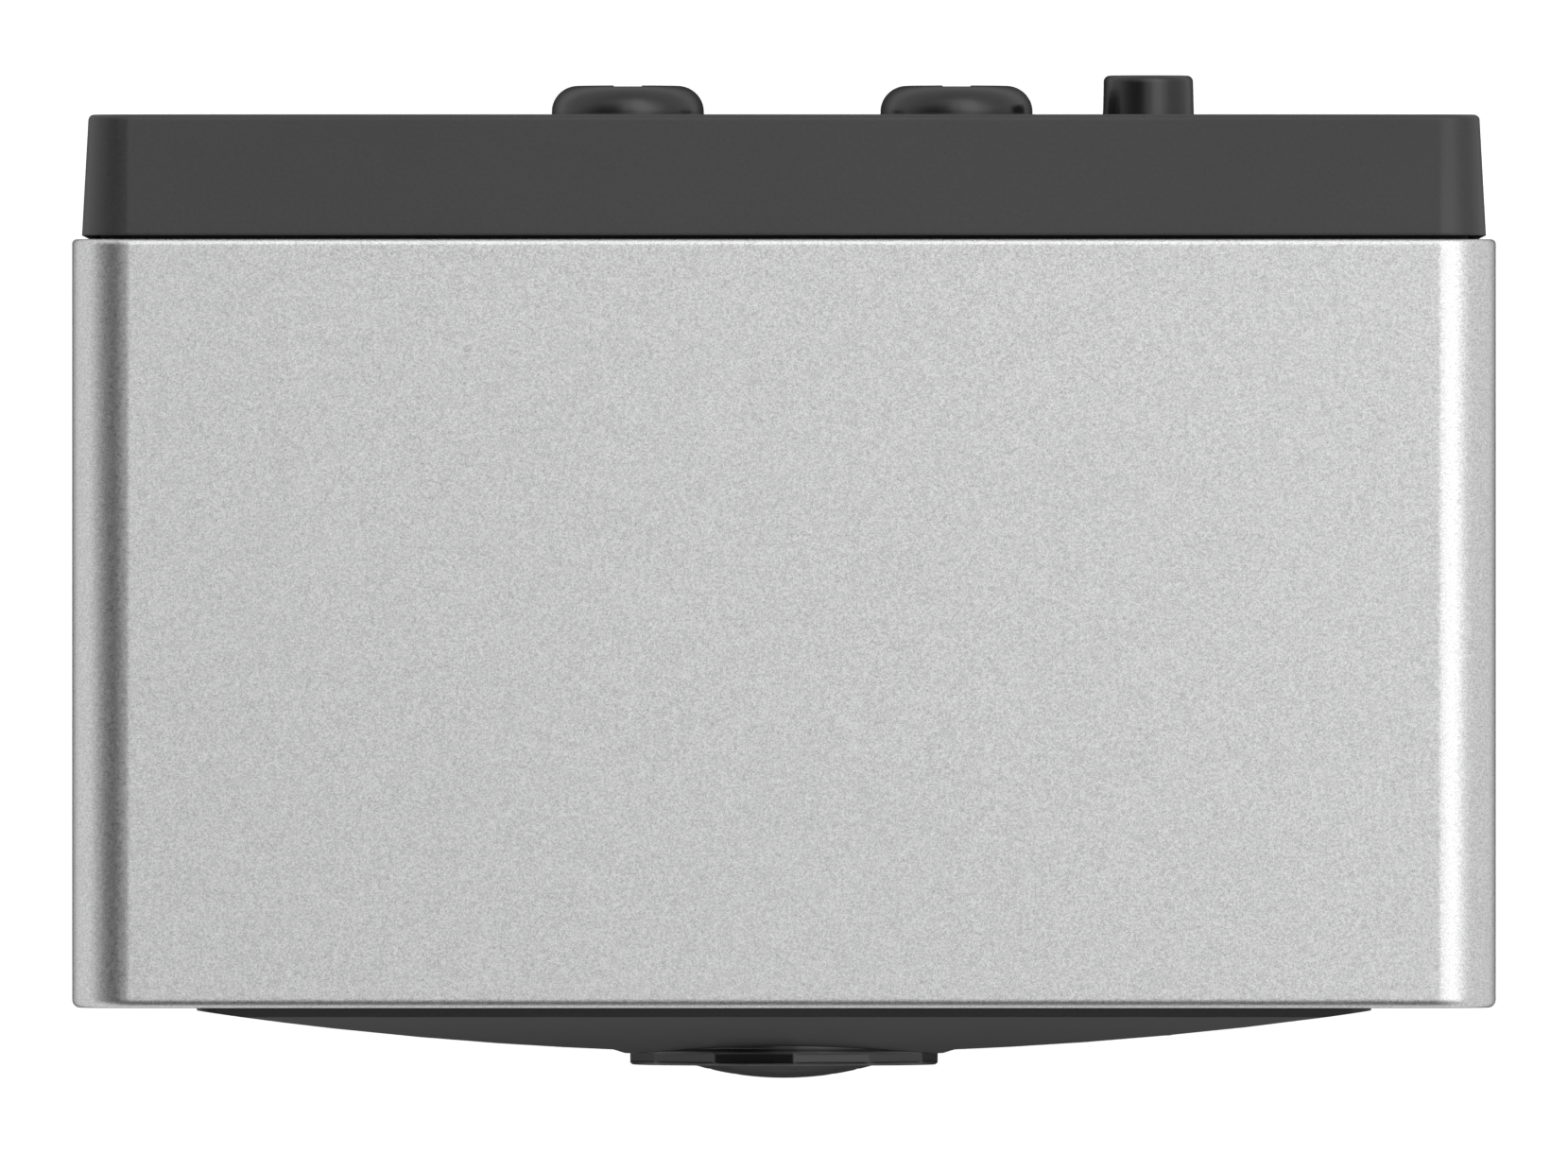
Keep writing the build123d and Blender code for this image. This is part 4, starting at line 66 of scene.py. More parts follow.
# what the picture takes in at the height of the silver end, from side to side
FRAME_WIDTH = 71.5 * MM
camera_data = bpy.data.cameras.new("camera")
camera_data.lens = LENS
camera_data.sensor_width = SENSOR
camera_data.clip_start = 0.05
camera_data.clip_end = 20.0
camera = bpy.data.objects.new("camera", camera_data)
camera.location = (0.0, 0.0, TOP + FRAME_WIDTH * LENS / SENSOR)
bpy.context.scene.collection.objects.link(camera)
bpy.context.scene.camera = camera

# ---------------------------------------------------------------- studio
bpy.context.scene.view_settings.view_transform = "Standard"
bpy.context.scene.view_settings.look = "None"
world = bpy.data.worlds.new("white_room")
world.use_nodes = True
bpy.context.scene.world = world
background = world.node_tree.nodes["Background"]
background.inputs["Color"].default_value = (1.0, 1.0, 1.0, 1.0)
background.inputs["Strength"].default_value = 1.0


def soft_light(name, place, target, width, depth, radiance):
    """A soft box at place that faces target. It only lights: the room stands for its reflection."""
    data = bpy.data.lights.new(name, "AREA")
    data.shape = "RECTANGLE"
    data.size = width
    data.size_y = depth
    data.energy = radiance * math.pi * width * depth
    light = bpy.data.objects.new(name, data)
    light.location = place
    light.rotation_euler = (Vector(target) - Vector(place)).to_track_quat("-Z", "Y").to_euler()
    light.visible_camera = False
    light.visible_glossy = False
    bpy.context.scene.collection.objects.link(light)


def curve_at(points, value):
    """The height of a line through points at value, eased between them."""
    if value <= points[0][0]:
        return points[0][1]
    for (x0, y0), (x1, y1) in zip(points, points[1:]):
        if value <= x1:
            t = (value - x0) / (x1 - x0)
            return y0 + (y1 - y0) * t * t * (3 - 2 * t)
    return points[-1][1]


def level_circle(radius, sides, z):
    """Points of a level circle round the upright axis."""
    turns = [2 * math.pi * i / sides for i in range(sides)]
    return [(radius * math.cos(turn), radius * math.sin(turn), z) for turn in turns]


def ring_faces(ring, sides):
    """Faces from that ring of points to the ring inside it, or to the middle point for ring 1."""
    here = 1 + (ring - 1) * sides
    inside = here - sides
    for i in range(sides):
        j = (i + 1) % sides
        if ring == 1:
            yield (0, here + i, here + j)
        else:
            yield (inside + i, here + i, here + j, inside + j)


def mirrored_only(name, points, faces, tones):
    """A studio card that is seen only in reflections, with its own brightness at each corner."""
    mesh = bpy.data.meshes.new(name)
    mesh.from_pydata(points, [], faces)
    attribute = mesh.color_attributes.new("tone", "FLOAT_COLOR", "POINT")
    for i, tone in enumerate(tones):
        attribute.data[i].color = (tone, tone, tone, 1.0)
    material = bpy.data.materials.new(name)
    material.use_nodes = True
    tree = material.node_tree
    tree.nodes.clear()
    out = tree.nodes.new("ShaderNodeOutputMaterial")
    glow = tree.nodes.new("ShaderNodeEmission")
    read = tree.nodes.new("ShaderNodeAttribute")
    read.attribute_name = "tone"
    tree.links.new(read.outputs["Color"], glow.inputs["Color"])
    tree.links.new(glow.outputs[0], out.inputs["Surface"])
    mesh.materials.append(material)
    material.cycles.emission_sampling = "NONE"
    card = bpy.data.objects.new(name, mesh)
    card.visible_camera = False
    card.visible_diffuse = False
    card.visible_shadow = False
    card.visible_transmission = False
    card.visible_volume_scatter = False
    bpy.context.scene.collection.objects.link(card)
    card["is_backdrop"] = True


# Brightness of the room by the angle from straight up, in degrees.
# ACROSS runs from left (-) to right (+), ALONG from front (-) to back (+).
ACROSS = [
    (-90, 0.98),
    (-80, 0.92),
    (-64, 0.54),
    (-48, 0.22),
    (-34, 0.09),
    (-22, 0.09),
    (-12, 0.28),
    (-4, 0.92),
    (5, 1.05),
    (13, 2.0),
    (27, 2.25),
    (40, 1.6),
    (54, 1.0),
    (70, 0.90),
    (90, 0.90),
]
ALONG = [
    (-90, 0.74),
    (-76, 0.40),
    (-58, 0.13),
    (-36, 0.06),
    (-18, 0.12),
    (-6, 0.86),
    (6, 1.08),
    (18, 2.1),
    (44, 1.9),
    (60, 0.95),
    (90, 0.82),
]


# how far each band reaches out of its own plane before it has faded to white, in degrees
BAND_SPREAD = 42.0


def room_tone(direction):
    """Brightness of the room in that direction."""
    across = math.degrees(math.atan2(direction.x, direction.z))
    along = math.degrees(math.atan2(direction.y, direction.z))
    sideways = 1.0 + (curve_at(ACROSS, across) - 1.0) * math.exp(-((along / BAND_SPREAD) ** 2))
    lengthways = 1.0 + (curve_at(ALONG, along) - 1.0) * math.exp(-((across / BAND_SPREAD) ** 2))
    return sideways * lengthways


ROOM_RADIUS = 1.8
ROOM_RINGS, ROOM_SIDES = 60, 192
# the walls end just past level, in degrees from straight up
ROOM_TILT = 90.5
BRIGHTEST = 2.6
room_points = [(0.0, 0.0, ROOM_RADIUS)]
room_tones = [room_tone(Vector((0.0, 0.0, 1.0)))]
room_faces = []
for ring in range(1, ROOM_RINGS + 1):
    tilt = math.radians(ROOM_TILT * ring / ROOM_RINGS)
    for x, y, z in level_circle(math.sin(tilt), ROOM_SIDES, max(0.0, math.cos(tilt))):
        direction = Vector((x, y, z))
        room_points.append(tuple(direction * ROOM_RADIUS))
        room_tones.append(min(BRIGHTEST, room_tone(direction)))
    room_faces += ring_faces(ring, ROOM_SIDES)
mirrored_only("room_walls", room_points, room_faces, room_tones)

# Brightness of the mirrored floor by distance from the middle, in metres: painted shade, darkest
# round the machine, standing in for the floor's contact shade as seen in reflections.
FLOOR_FALL = [
    (0.0, 0.03),
    (0.050, 0.05),
    (0.075, 0.12),
    (0.100, 0.30),
    (0.135, 0.62),
    (0.190, 0.92),
    (1.8, 0.92),
]
# rings of the reflection-only card that carries this painted shade
SHADE_CARD_REACHES = [0.02, *(0.01 * i for i in range(4, 15)), 0.15, 0.17, 0.19, 0.21, 0.23]
SHADE_CARD_REACHES += [0.26, 0.29, 0.33, 0.6, ROOM_RADIUS]
FLOOR_SIDES = 96
SHADE_CARD_LIFT = 0.0002
shade_card_points = [(0.0, 0.0, SHADE_CARD_LIFT)]
shade_card_tones = [curve_at(FLOOR_FALL, 0.0)]
shade_card_faces = []
for ring, reach in enumerate(SHADE_CARD_REACHES, 1):
    shade_card_points += level_circle(reach, FLOOR_SIDES, SHADE_CARD_LIFT)
    shade_card_tones += [curve_at(FLOOR_FALL, reach)] * FLOOR_SIDES
    shade_card_faces += ring_faces(ring, FLOOR_SIDES)
mirrored_only("room_floor", shade_card_points, shade_card_faces, shade_card_tones)

FLOOR_RADIUS = 1.7
FLOOR_GLOW = 0.42
floor_mesh = bpy.data.meshes.new("floor")
floor_points = level_circle(FLOOR_RADIUS, FLOOR_SIDES, 0.0)
floor_mesh.from_pydata(floor_points, [], [tuple(range(FLOOR_SIDES))])
floor_white = bpy.data.materials.new("floor_white")
floor_white.use_nodes = True
floor_inputs = floor_white.node_tree.nodes["Principled BSDF"].inputs
floor_inputs["Base Color"].default_value = (0.93, 0.93, 0.93, 1.0)
floor_inputs["Roughness"].default_value = 0.9
floor_inputs["Specular IOR Level"].default_value = 0.0
floor_inputs["Emission Color"].default_value = (1.0, 1.0, 1.0, 1.0)
floor_inputs["Emission Strength"].default_value = FLOOR_GLOW
floor_mesh.materials.append(floor_white)
floor = bpy.data.objects.new("floor", floor_mesh)
bpy.context.scene.collection.objects.link(floor)
floor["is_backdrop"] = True

CENTRE = (0.0, 0.0, 0.06)
soft_light("box_right", (0.75, 0.20, TOP + 1.30), CENTRE, 1.00, 1.20, 1.1)
soft_light("box_back", (-0.25, 1.20, TOP + 1.00), CENTRE, 1.20, 0.60, 0.9)
soft_light("box_front", (-0.40, -1.40, 0.80), CENTRE, 1.20, 0.80, 0.8)


# ---------------------------------------------------------------- material tools
class Shader:
    """One Principled material with its node tree, built a few nodes at a time in object space."""

    def __init__(self, name, colour, roughness, metallic=0.0):
        self.material = bpy.data.materials.new(name)
        self.material.use_nodes = True
        self.tree = self.material.node_tree
        self.body = self.tree.nodes["Principled BSDF"]
        self.set("Base Color", colour)
        self.set("Roughness", roughness)
        self.set("Metallic", metallic)
        self.place = self.tree.nodes.new("ShaderNodeTexCoord").outputs["Object"]
        self.normal = None

    def set(self, name, value):
        self.feed(value, self.body.inputs[name])

    def feed(self, value, socket):
        """Links value to the socket, or stores it there if it is a constant."""
        if isinstance(value, bpy.types.NodeSocket):
            self.tree.links.new(value, socket)
        elif hasattr(value, "__len__") and socket.type == "RGBA":
            socket.default_value = (*value, 1.0)
        else:
            socket.default_value = value

    def scaled(self, x, y, z, turn=(0.0, 0.0, 0.0)):
        """The object's own coordinates, stretched and turned."""
        node = self.tree.nodes.new("ShaderNodeMapping")
        node.inputs["Scale"].default_value = (x, y, z)
        node.inputs["Rotation"].default_value = turn
        self.tree.links.new(self.place, node.inputs["Vector"])
        return node.outputs["Vector"]

    def noise(self, size, detail=3.0, rough=0.55, vector=None):
        """Cloudy noise whose blobs are about size across, in metres or in the units of vector."""
        node = self.tree.nodes.new("ShaderNodeTexNoise")
        node.inputs["Scale"].default_value = 1.0 / size
        node.inputs["Detail"].default_value = detail
        node.inputs["Roughness"].default_value = rough
        self.tree.links.new(self.place if vector is None else vector, node.inputs["Vector"])
        return node.outputs["Fac"]

    def cells(self, size):
        """Distance to the nearest of scattered points, about size metres apart."""
        node = self.tree.nodes.new("ShaderNodeTexVoronoi")
        node.inputs["Scale"].default_value = 1.0 / size
        self.tree.links.new(self.place, node.inputs["Vector"])
        return node.outputs["Distance"]

    def along_line(self, value, scale, detail):
        """Noise that changes only with value."""
        node = self.tree.nodes.new("ShaderNodeTexNoise")
        node.noise_dimensions = "1D"
        node.inputs["Scale"].default_value = scale
        node.inputs["Detail"].default_value = detail
        self.tree.links.new(value, node.inputs["W"])
        return node.outputs["Fac"]

    def math(self, operation, a, b=0.0, clamp=False):
        node = self.tree.nodes.new("ShaderNodeMath")
        node.operation = operation
        node.use_clamp = clamp
        self.feed(a, node.inputs[0])
        self.feed(b, node.inputs[1])
        return node.outputs[0]

    def span(self, value, low, high, to_low, to_high):
        """value carried from one span to another, and held at its ends."""
        node = self.tree.nodes.new("ShaderNodeMapRange")
        self.feed(value, node.inputs["Value"])
        node.inputs["From Min"].default_value = low
        node.inputs["From Max"].default_value = high
        node.inputs["To Min"].default_value = to_low
        node.inputs["To Max"].default_value = to_high
        return node.outputs["Result"]

    def mix(self, share, a, b):
        node = self.tree.nodes.new("ShaderNodeMix")
        node.data_type = "RGBA"
        self.feed(share, node.inputs["Factor"])
        self.feed(a, node.inputs["A"])
        self.feed(b, node.inputs["B"])
        return node.outputs["Result"]

    def part(self, axis):
        node = self.tree.nodes.new("ShaderNodeSeparateXYZ")
        self.tree.links.new(self.place, node.inputs[0])
        return node.outputs[axis]

    def soft_edges(self, radius, samples=4):
        """Breaks the sharp edges with a small radius, and gives a mask of where those edges are."""
        bevel = self.tree.nodes.new("ShaderNodeBevel")
        bevel.samples = samples
        bevel.inputs["Radius"].default_value = radius
        geometry = self.tree.nodes.new("ShaderNodeNewGeometry")
        dot = self.tree.nodes.new("ShaderNodeVectorMath")
        dot.operation = "DOT_PRODUCT"
        self.tree.links.new(bevel.outputs["Normal"], dot.inputs[0])
        self.tree.links.new(geometry.outputs["Normal"], dot.inputs[1])
        self.normal = bevel.outputs["Normal"]
        return self.span(dot.outputs["Value"], 0.99, 0.80, 0.0, 1.0)

    def bump(self, height, depth, strength=1.0):
        """Relief of that depth in metres, laid over what there is."""
        node = self.tree.nodes.new("ShaderNodeBump")
        node.inputs["Distance"].default_value = depth
        node.inputs["Strength"].default_value = strength
        self.feed(height, node.inputs["Height"])
        if self.normal is not None:
            self.tree.links.new(self.normal, node.inputs["Normal"])
        self.normal = node.outputs["Normal"]

    def done(self):
        if self.normal is not None:
            self.tree.links.new(self.normal, self.body.inputs["Normal"])
        return self.material


def blasted_aluminium():
    """Bead-blasted, anodised aluminium: fine sparkling grain, slightly cloudy, with worn rims."""
    s = Shader("aluminium_blasted", (0.6, 0.6, 0.61), 0.34, 1.0)
    grain = s.noise(0.000055, 2.0, 0.6)
    coarse = s.noise(0.00016, 2.0, 0.5)
    cloud = s.noise(0.018, 3.0, 0.5)
    tone = s.math("ADD", s.math("MULTIPLY", grain, 0.75), s.math("MULTIPLY", coarse, 0.25))
    colour = s.mix(s.span(tone, 0.38, 0.62, 0.0, 1.0), (0.42, 0.42, 0.423), (0.74, 0.74, 0.745))
    colour = s.mix(s.span(cloud, 0.3, 0.7, 0.0, 0.10), colour, (0.52, 0.525, 0.54))
    patches = s.span(s.noise(0.0018), 0.35, 0.7, 0.2, 0.8)
    wear = s.math("MULTIPLY", s.soft_edges(0.00022), patches)
    s.set("Base Color", s.mix(wear, colour, (0.80, 0.80, 0.80)))
    rough = s.span(coarse, 0.3, 0.7, 0.27, 0.33)
    s.set("Roughness", s.math("SUBTRACT", rough, s.math("MULTIPLY", wear, 0.10)))
    s.bump(grain, 0.000004, 0.5)
    return s.done()


def moulded(name, colour, roughness, grain=0.00016, depth=0.000005, wear=0.35, gloss=0.5):
    """Injection-moulded plastic with spark-eroded grain, rubbed shinier and paler on its edges."""
    s = Shader(name, colour, roughness)
    s.set("Specular IOR Level", gloss)
    fine = s.noise(grain, 3.0, 0.6)
    handling = s.noise(0.011, 4.0, 0.6)
    edges = s.soft_edges(0.00018)
    rubbed = s.math("MULTIPLY", edges, s.span(s.noise(0.0021, 3.0), 0.40, 0.68, 0.05, wear))
    pale = tuple(min(1.0, c * 1.9 + 0.03) for c in colour)
    dark = tuple(c * 0.82 for c in colour)
    light = tuple(c * 1.14 for c in colour)
    base = s.mix(s.span(fine, 0.32, 0.68, 0.0, 1.0), dark, light)
    s.set("Base Color", s.mix(rubbed, base, pale))
    polish = s.span(handling, 0.3, 0.7, -0.05, 0.05)
    rough = s.math("ADD", polish, s.span(fine, 0.3, 0.7, -0.03, 0.03))
    rough = s.math("ADD", rough, roughness)
    s.set("Roughness", s.math("SUBTRACT", rough, s.math("MULTIPLY", rubbed, 0.12), True))
    s.bump(fine, depth, 0.6)
    return s.done()


def polished_black():
    """High-gloss black moulding with faint wiping marks."""
    black = (0.007, 0.007, 0.0075)
    s = Shader("gloss_moulding", black, 0.08)
    smear = s.noise(0.006, 4.0, 0.65)
    hair = s.noise(1.0, 2.0, 0.5, s.scaled(9000.0, 420.0, 420.0, (0.2, 0.5, 0.9)))
    wiped = s.span(smear, 0.35, 0.75, 0.05, 0.14)
    s.set("Roughness", s.math("ADD", wiped, s.span(hair, 0.62, 0.8, 0.0, 0.10)))
    edges = s.soft_edges(0.00012)
    s.set("Base Color", s.mix(s.math("MULTIPLY", edges, 0.35), black, (0.05, 0.05, 0.052)))
    s.bump(hair, 0.000001, 0.3)
    return s.done()


def smoked_acrylic():
    """Smoked clear acrylic with a little haze and fingerprints."""
    s = Shader("acrylic_smoked", (0.50, 0.505, 0.51), 0.02)
    s.set("Transmission Weight", 1.0)
    s.set("IOR", 1.49)
    haze = s.noise(0.007, 4.0, 0.65)
    hair = s.noise(1.0, 2.0, 0.5, s.scaled(500.0, 9000.0, 500.0, (0.3, 0.1, 0.7)))
    prints = s.span(haze, 0.45, 0.75, 0.0, 0.07)
    s.set("Roughness", s.math("ADD", prints, s.span(hair, 0.66, 0.8, 0.0, 0.06)))
    return s.done()


def metal(name, colour, roughness, grain=(900.0, 900.0, 14000.0), stain=0.25):
    """Worked metal: fine marks along one direction, light staining, brighter edges."""
    s = Shader(name, colour, roughness, 1.0)
    marks = s.noise(1.0, 3.0, 0.6, s.scaled(*grain))
    cloud = s.noise(0.004, 4.0, 0.6)
    dull = tuple(c * 0.62 for c in colour)
    shine = tuple(min(1.0, c * 1.15 + 0.04) for c in colour)
    stained = s.math("MULTIPLY", s.span(cloud, 0.4, 0.72, 0.0, 1.0), stain)
    base = s.mix(s.span(marks, 0.3, 0.7, 0.0, 0.35), s.mix(stained, colour, dull), dull)
    edges = s.math("MULTIPLY", s.soft_edges(0.0001), 0.3)
    s.set("Base Color", s.mix(edges, base, shine))
    marked = s.span(marks, 0.3, 0.7, roughness - 0.04, roughness + 0.06)
    s.set("Roughness", s.math("ADD", s.span(cloud, 0.3, 0.7, -0.04, 0.06), marked))
    s.bump(marks, 0.000003, 0.5)
    return s.done()


def rubber(name, colour, roughness=0.78):
    """Rubber or foam with a pale bloom."""
    s = Shader(name, colour, roughness)
    s.set("Specular IOR Level", 0.3)
    bloom = s.noise(0.0016, 4.0, 0.65)
    fine = s.noise(0.00012, 3.0, 0.6)
    dusty = tuple(c * 2.0 + 0.02 for c in colour)
    s.set("Base Color", s.mix(s.span(bloom, 0.45, 0.8, 0.0, 0.5), colour, dusty))
    s.set("Roughness", s.span(bloom, 0.3, 0.7, roughness - 0.08, roughness + 0.08))
    s.bump(fine, 0.00001, 0.6)
    return s.done()


def circuit_board():
    """Green solder mask over copper tracks, with tinned pads."""
    s = Shader("board_mask", (0.02, 0.11, 0.045), 0.32)
    s.set("Coat Weight", 0.4)
    s.set("Coat Roughness", 0.15)
    brick = s.tree.nodes.new("ShaderNodeTexBrick")
    brick.offset = 0.37
    brick.squash = 0.6
    brick.squash_frequency = 3
    brick.inputs["Scale"].default_value = 1.0
    brick.inputs["Brick Width"].default_value = 6.5
    brick.inputs["Row Height"].default_value = 1.7
    brick.inputs["Mortar Size"].default_value = 0.19
    brick.inputs["Mortar Smooth"].default_value = 0.1
    millimetres = s.scaled(1000.0, 1000.0, 1000.0, (math.pi / 2, 0.0, 0.0))
    s.tree.links.new(millimetres, brick.inputs["Vector"])
    track = brick.outputs["Fac"]
    pads = s.span(s.cells(0.0028), 0.24, 0.19, 0.0, 1.0)
    holes = s.span(s.cells(0.0028), 0.09, 0.07, 0.0, 1.0)
    cloud = s.span(s.noise(0.006), 0.3, 0.7, 0.0, 1.0)
    mask = s.mix(cloud, (0.012, 0.085, 0.034), (0.022, 0.12, 0.05))
    over = s.mix(track, mask, (0.05, 0.20, 0.07))
    over = s.mix(pads, over, (0.58, 0.57, 0.54))
    s.set("Base Color", s.mix(holes, over, (0.03, 0.03, 0.03)))
    s.set("Roughness", s.mix(pads, (0.33, 0.33, 0.33), (0.24, 0.24, 0.24)))
    s.bump(s.math("ADD", track, s.math("MULTIPLY", pads, 1.6)), 0.00003, 0.7)
    return s.done()


def wound_tape(name, x, z):
    """Brown tape seen on edge: fine winding lines round the hub, some wraps standing proud."""
    s = Shader(name, (0.075, 0.035, 0.018), 0.3)
    dx = s.math("SUBTRACT", s.part("X"), x)
    dz = s.math("SUBTRACT", s.part("Z"), z)
    radius = s.math("SQRT", s.math("ADD", s.math("MULTIPLY", dx, dx), s.math("MULTIPLY", dz, dz)))
    line = s.along_line(radius, 9000.0, 3.0)
    band = s.along_line(radius, 900.0, 2.0)
    tone = s.math("ADD", s.math("MULTIPLY", line, 0.55), s.math("MULTIPLY", band, 0.45))
    share = s.span(tone, 0.35, 0.65, 0.0, 1.0)
    s.set("Base Color", s.mix(share, (0.040, 0.018, 0.010), (0.115, 0.058, 0.032)))
    s.set("Roughness", s.span(line, 0.3, 0.7, 0.24, 0.42))
    s.bump(tone, 0.00004, 0.6)
    return s.done()


def flat_tape():
    """The tape's flat oxide side, faintly streaked."""
    s = Shader("tape_ribbon", (0.07, 0.032, 0.017), 0.2)
    s.set("Coat Weight", 0.3)
    streak = s.noise(1.0, 3.0, 0.5, s.scaled(120.0, 9000.0, 120.0))
    share = s.span(streak, 0.35, 0.65, 0.0, 1.0)
    s.set("Base Color", s.mix(share, (0.05, 0.023, 0.012), (0.09, 0.042, 0.022)))
    s.set("Roughness", s.span(streak, 0.3, 0.7, 0.14, 0.28))
    return s.done()


def wool_felt():
    """Pale pressed wool."""
    s = Shader("felt_wool", (0.55, 0.50, 0.42), 0.95)
    s.set("Sheen Weight", 0.5)
    s.set("Sheen Roughness", 0.5)
    fibre = s.noise(1.0, 5.0, 0.7, s.scaled(7000.0, 3500.0, 5000.0, (0.4, 0.8, 0.2)))
    share = s.span(fibre, 0.3, 0.7, 0.0, 1.0)
    s.set("Base Color", s.mix(share, (0.42, 0.37, 0.30), (0.68, 0.63, 0.55)))
    s.bump(fibre, 0.00008, 0.9)
    return s.done()


def woven_cloth():
    """Plain weave across X and Z: threads pass over and under each other, with a painted highlight
    on their crowns and painted shade between them.
    """
    thread = 0.00042
    dark, light = (0.010, 0.010, 0.010), (0.075, 0.075, 0.072)
    s = Shader("grille_weave", dark, 0.85)
    s.set("Sheen Weight", 0.25)
    s.set("Sheen Roughness", 0.4)
    across = s.math("SINE", s.math("MULTIPLY", s.part("X"), math.pi / thread))
    along = s.math("SINE", s.math("MULTIPLY", s.part("Z"), math.pi / thread))
    height = s.math("ABSOLUTE", s.math("MULTIPLY", across, along))
    fuzz = s.noise(0.00005, 3.0, 0.7)
    # painted highlight and shade: the base colour is paler on the raised thread crowns and darker
    # in the hollows between threads
    painted_crown_light = s.math("MULTIPLY", height, s.span(fuzz, 0.3, 0.7, 0.5, 1.0))
    s.set("Base Color", s.mix(painted_crown_light, dark, light))
    s.bump(s.math("ADD", height, s.math("MULTIPLY", fuzz, 0.3)), thread * 0.3, 0.8)
    return s.done()


def pressed_paper():
    """Doped paper cone: fibrous, dark, matt."""
    s = Shader("cone_paper", (0.035, 0.033, 0.03), 0.8)
    fibre = s.noise(1.0, 5.0, 0.7, s.scaled(2600.0, 2600.0, 2600.0))
    mottle = s.noise(0.0012, 4.0, 0.6)
    share = s.span(fibre, 0.3, 0.7, 0.0, 1.0)
    s.set("Base Color", s.mix(share, (0.02, 0.019, 0.018), (0.075, 0.07, 0.062)))
    s.set("Roughness", s.span(mottle, 0.3, 0.7, 0.7, 0.9))
    s.bump(fibre, 0.00006, 0.8)
    return s.done()


def tinted_lamp():
    """Red translucent lamp body, unlit."""
    s = Shader("lamp_red", (0.55, 0.012, 0.010), 0.12)
    s.set("Transmission Weight", 0.35)
    s.set("IOR", 1.5)
    s.set("Coat Weight", 0.4)
    flow = s.noise(0.0007, 3.0, 0.5)
    share = s.span(flow, 0.3, 0.7, 0.0, 1.0)
    s.set("Base Color", s.mix(share, (0.42, 0.008, 0.008), (0.66, 0.03, 0.02)))
    s.set("Roughness", s.span(flow, 0.3, 0.7, 0.08, 0.18))
    return s.done()


# The two cells lie across the machine, above and below this height, with opposite ends positive.
CELLS_MID_Z = 25.1 * MM
BAND_START, BAND_END = 15.0 * MM, 21.0 * MM
POSITIVE_CAP, NEGATIVE_CAP = 23.6 * MM, -24.3 * MM
BLUR = 0.1 * MM


def cell_sleeve():
    """Plain slate-blue shrink film, a pale band near the positive end, bare metal at both caps."""
    s = Shader("cell_sleeve", (0.02, 0.02, 0.022), 0.28)
    side = s.span(s.part("Z"), CELLS_MID_Z - BLUR, CELLS_MID_Z + BLUR, -1.0, 1.0)
    reach = s.math("MULTIPLY", s.part("X"), side)
    past_start = s.span(reach, BAND_START, BAND_START + BLUR, 0.0, 1.0)
    past_end = s.span(reach, BAND_END, BAND_END + BLUR, 0.0, 1.0)
    band = s.math("SUBTRACT", past_start, past_end)
    positive = s.span(reach, POSITIVE_CAP, POSITIVE_CAP + BLUR, 0.0, 1.0)
    negative = s.span(reach, NEGATIVE_CAP, NEGATIVE_CAP - BLUR, 0.0, 1.0)
    cap = s.math("ADD", positive, negative, True)
    wrinkle = s.noise(1.0, 2.0, 0.5, s.scaled(90.0, 420.0, 420.0))
    share = s.span(s.noise(0.004, 3.0), 0.3, 0.7, 0.0, 1.0)
    film = s.mix(share, (0.060, 0.105, 0.160), (0.078, 0.128, 0.190))
    base = s.mix(band, film, (0.60, 0.61, 0.60))
    s.set("Base Color", s.mix(cap, base, (0.70, 0.69, 0.66)))
    s.set("Metallic", cap)
    s.set("Roughness", s.span(wrinkle, 0.3, 0.7, 0.25, 0.31))
    s.bump(wrinkle, 0.000003, 0.4)
    return s.done()


MATERIALS = {
    "silver": blasted_aluminium(),
    "cover_black": moulded("cover_moulding", (0.0168, 0.0168, 0.0172), 0.42, wear=0.3),
    "front_black": moulded(
        "front_moulding", (0.0140, 0.0140, 0.0145), 0.34, 0.00012, 0.000003, gloss=0.34
    ),
    "knob_black": moulded(
        "knob_moulding", (0.008, 0.008, 0.0084), 0.22, 0.00010, 0.000002, wear=0.4
    ),
    "gloss_black": polished_black(),
    "smoke_window": smoked_acrylic(),
    "seal_rubber": rubber("seal_foam", (0.012, 0.012, 0.012)),
    "steel": metal("steel_stamped", (0.50, 0.50, 0.49), 0.32),
    "brass": metal("brass_turned", (0.70, 0.50, 0.22), 0.22, (9000.0, 400.0, 9000.0), 0.4),
    "chrome_steel": metal("steel_bright", (0.66, 0.66, 0.66), 0.16, (5000.0, 5000.0, 900.0), 0.15),
    "inner_black": moulded(
        "inner_moulding", (0.030, 0.030, 0.031), 0.52, 0.00022, 0.000006, wear=0.25
    ),
    "drive_rubber": rubber("drive_rubber", (0.022, 0.021, 0.020), 0.7),
    "board_green": circuit_board(),
    "component_black": moulded(
        "component_resin", (0.020, 0.020, 0.022), 0.42, 0.00009, 0.000003, wear=0.3
    ),
    "cassette_grey": moulded(
        "cassette_styrene", (0.095, 0.100, 0.105), 0.24, 0.00025, 0.000002, wear=0.3
    ),
    "hub_white": moulded("hub_acetal", (0.74, 0.74, 0.71), 0.40, 0.00020, 0.000003, wear=0.1),
    "tape_brown": flat_tape(),
    "felt": wool_felt(),
    "grille_fabric": woven_cloth(),
    "cone_paper": pressed_paper(),
    "lamp_red": tinted_lamp(),
    "cell_label": cell_sleeve(),
}

for obj in nodes.values():
    for held in obj.material_slots:
        slot_name = held.material.name.split(".")[0] if held.material else ""
        if slot_name in MATERIALS:
            held.material = MATERIALS[slot_name]
nodes["door_window"].visible_shadow = False
REEL_X = 11.5 * MM
REEL_Z = 54.5 * MM
for name, x in (("supply_tape_pack", -REEL_X), ("takeup_tape_pack", REEL_X)):
    nodes[name].material_slots[0].material = wound_tape(name + "_finish", x, REEL_Z)


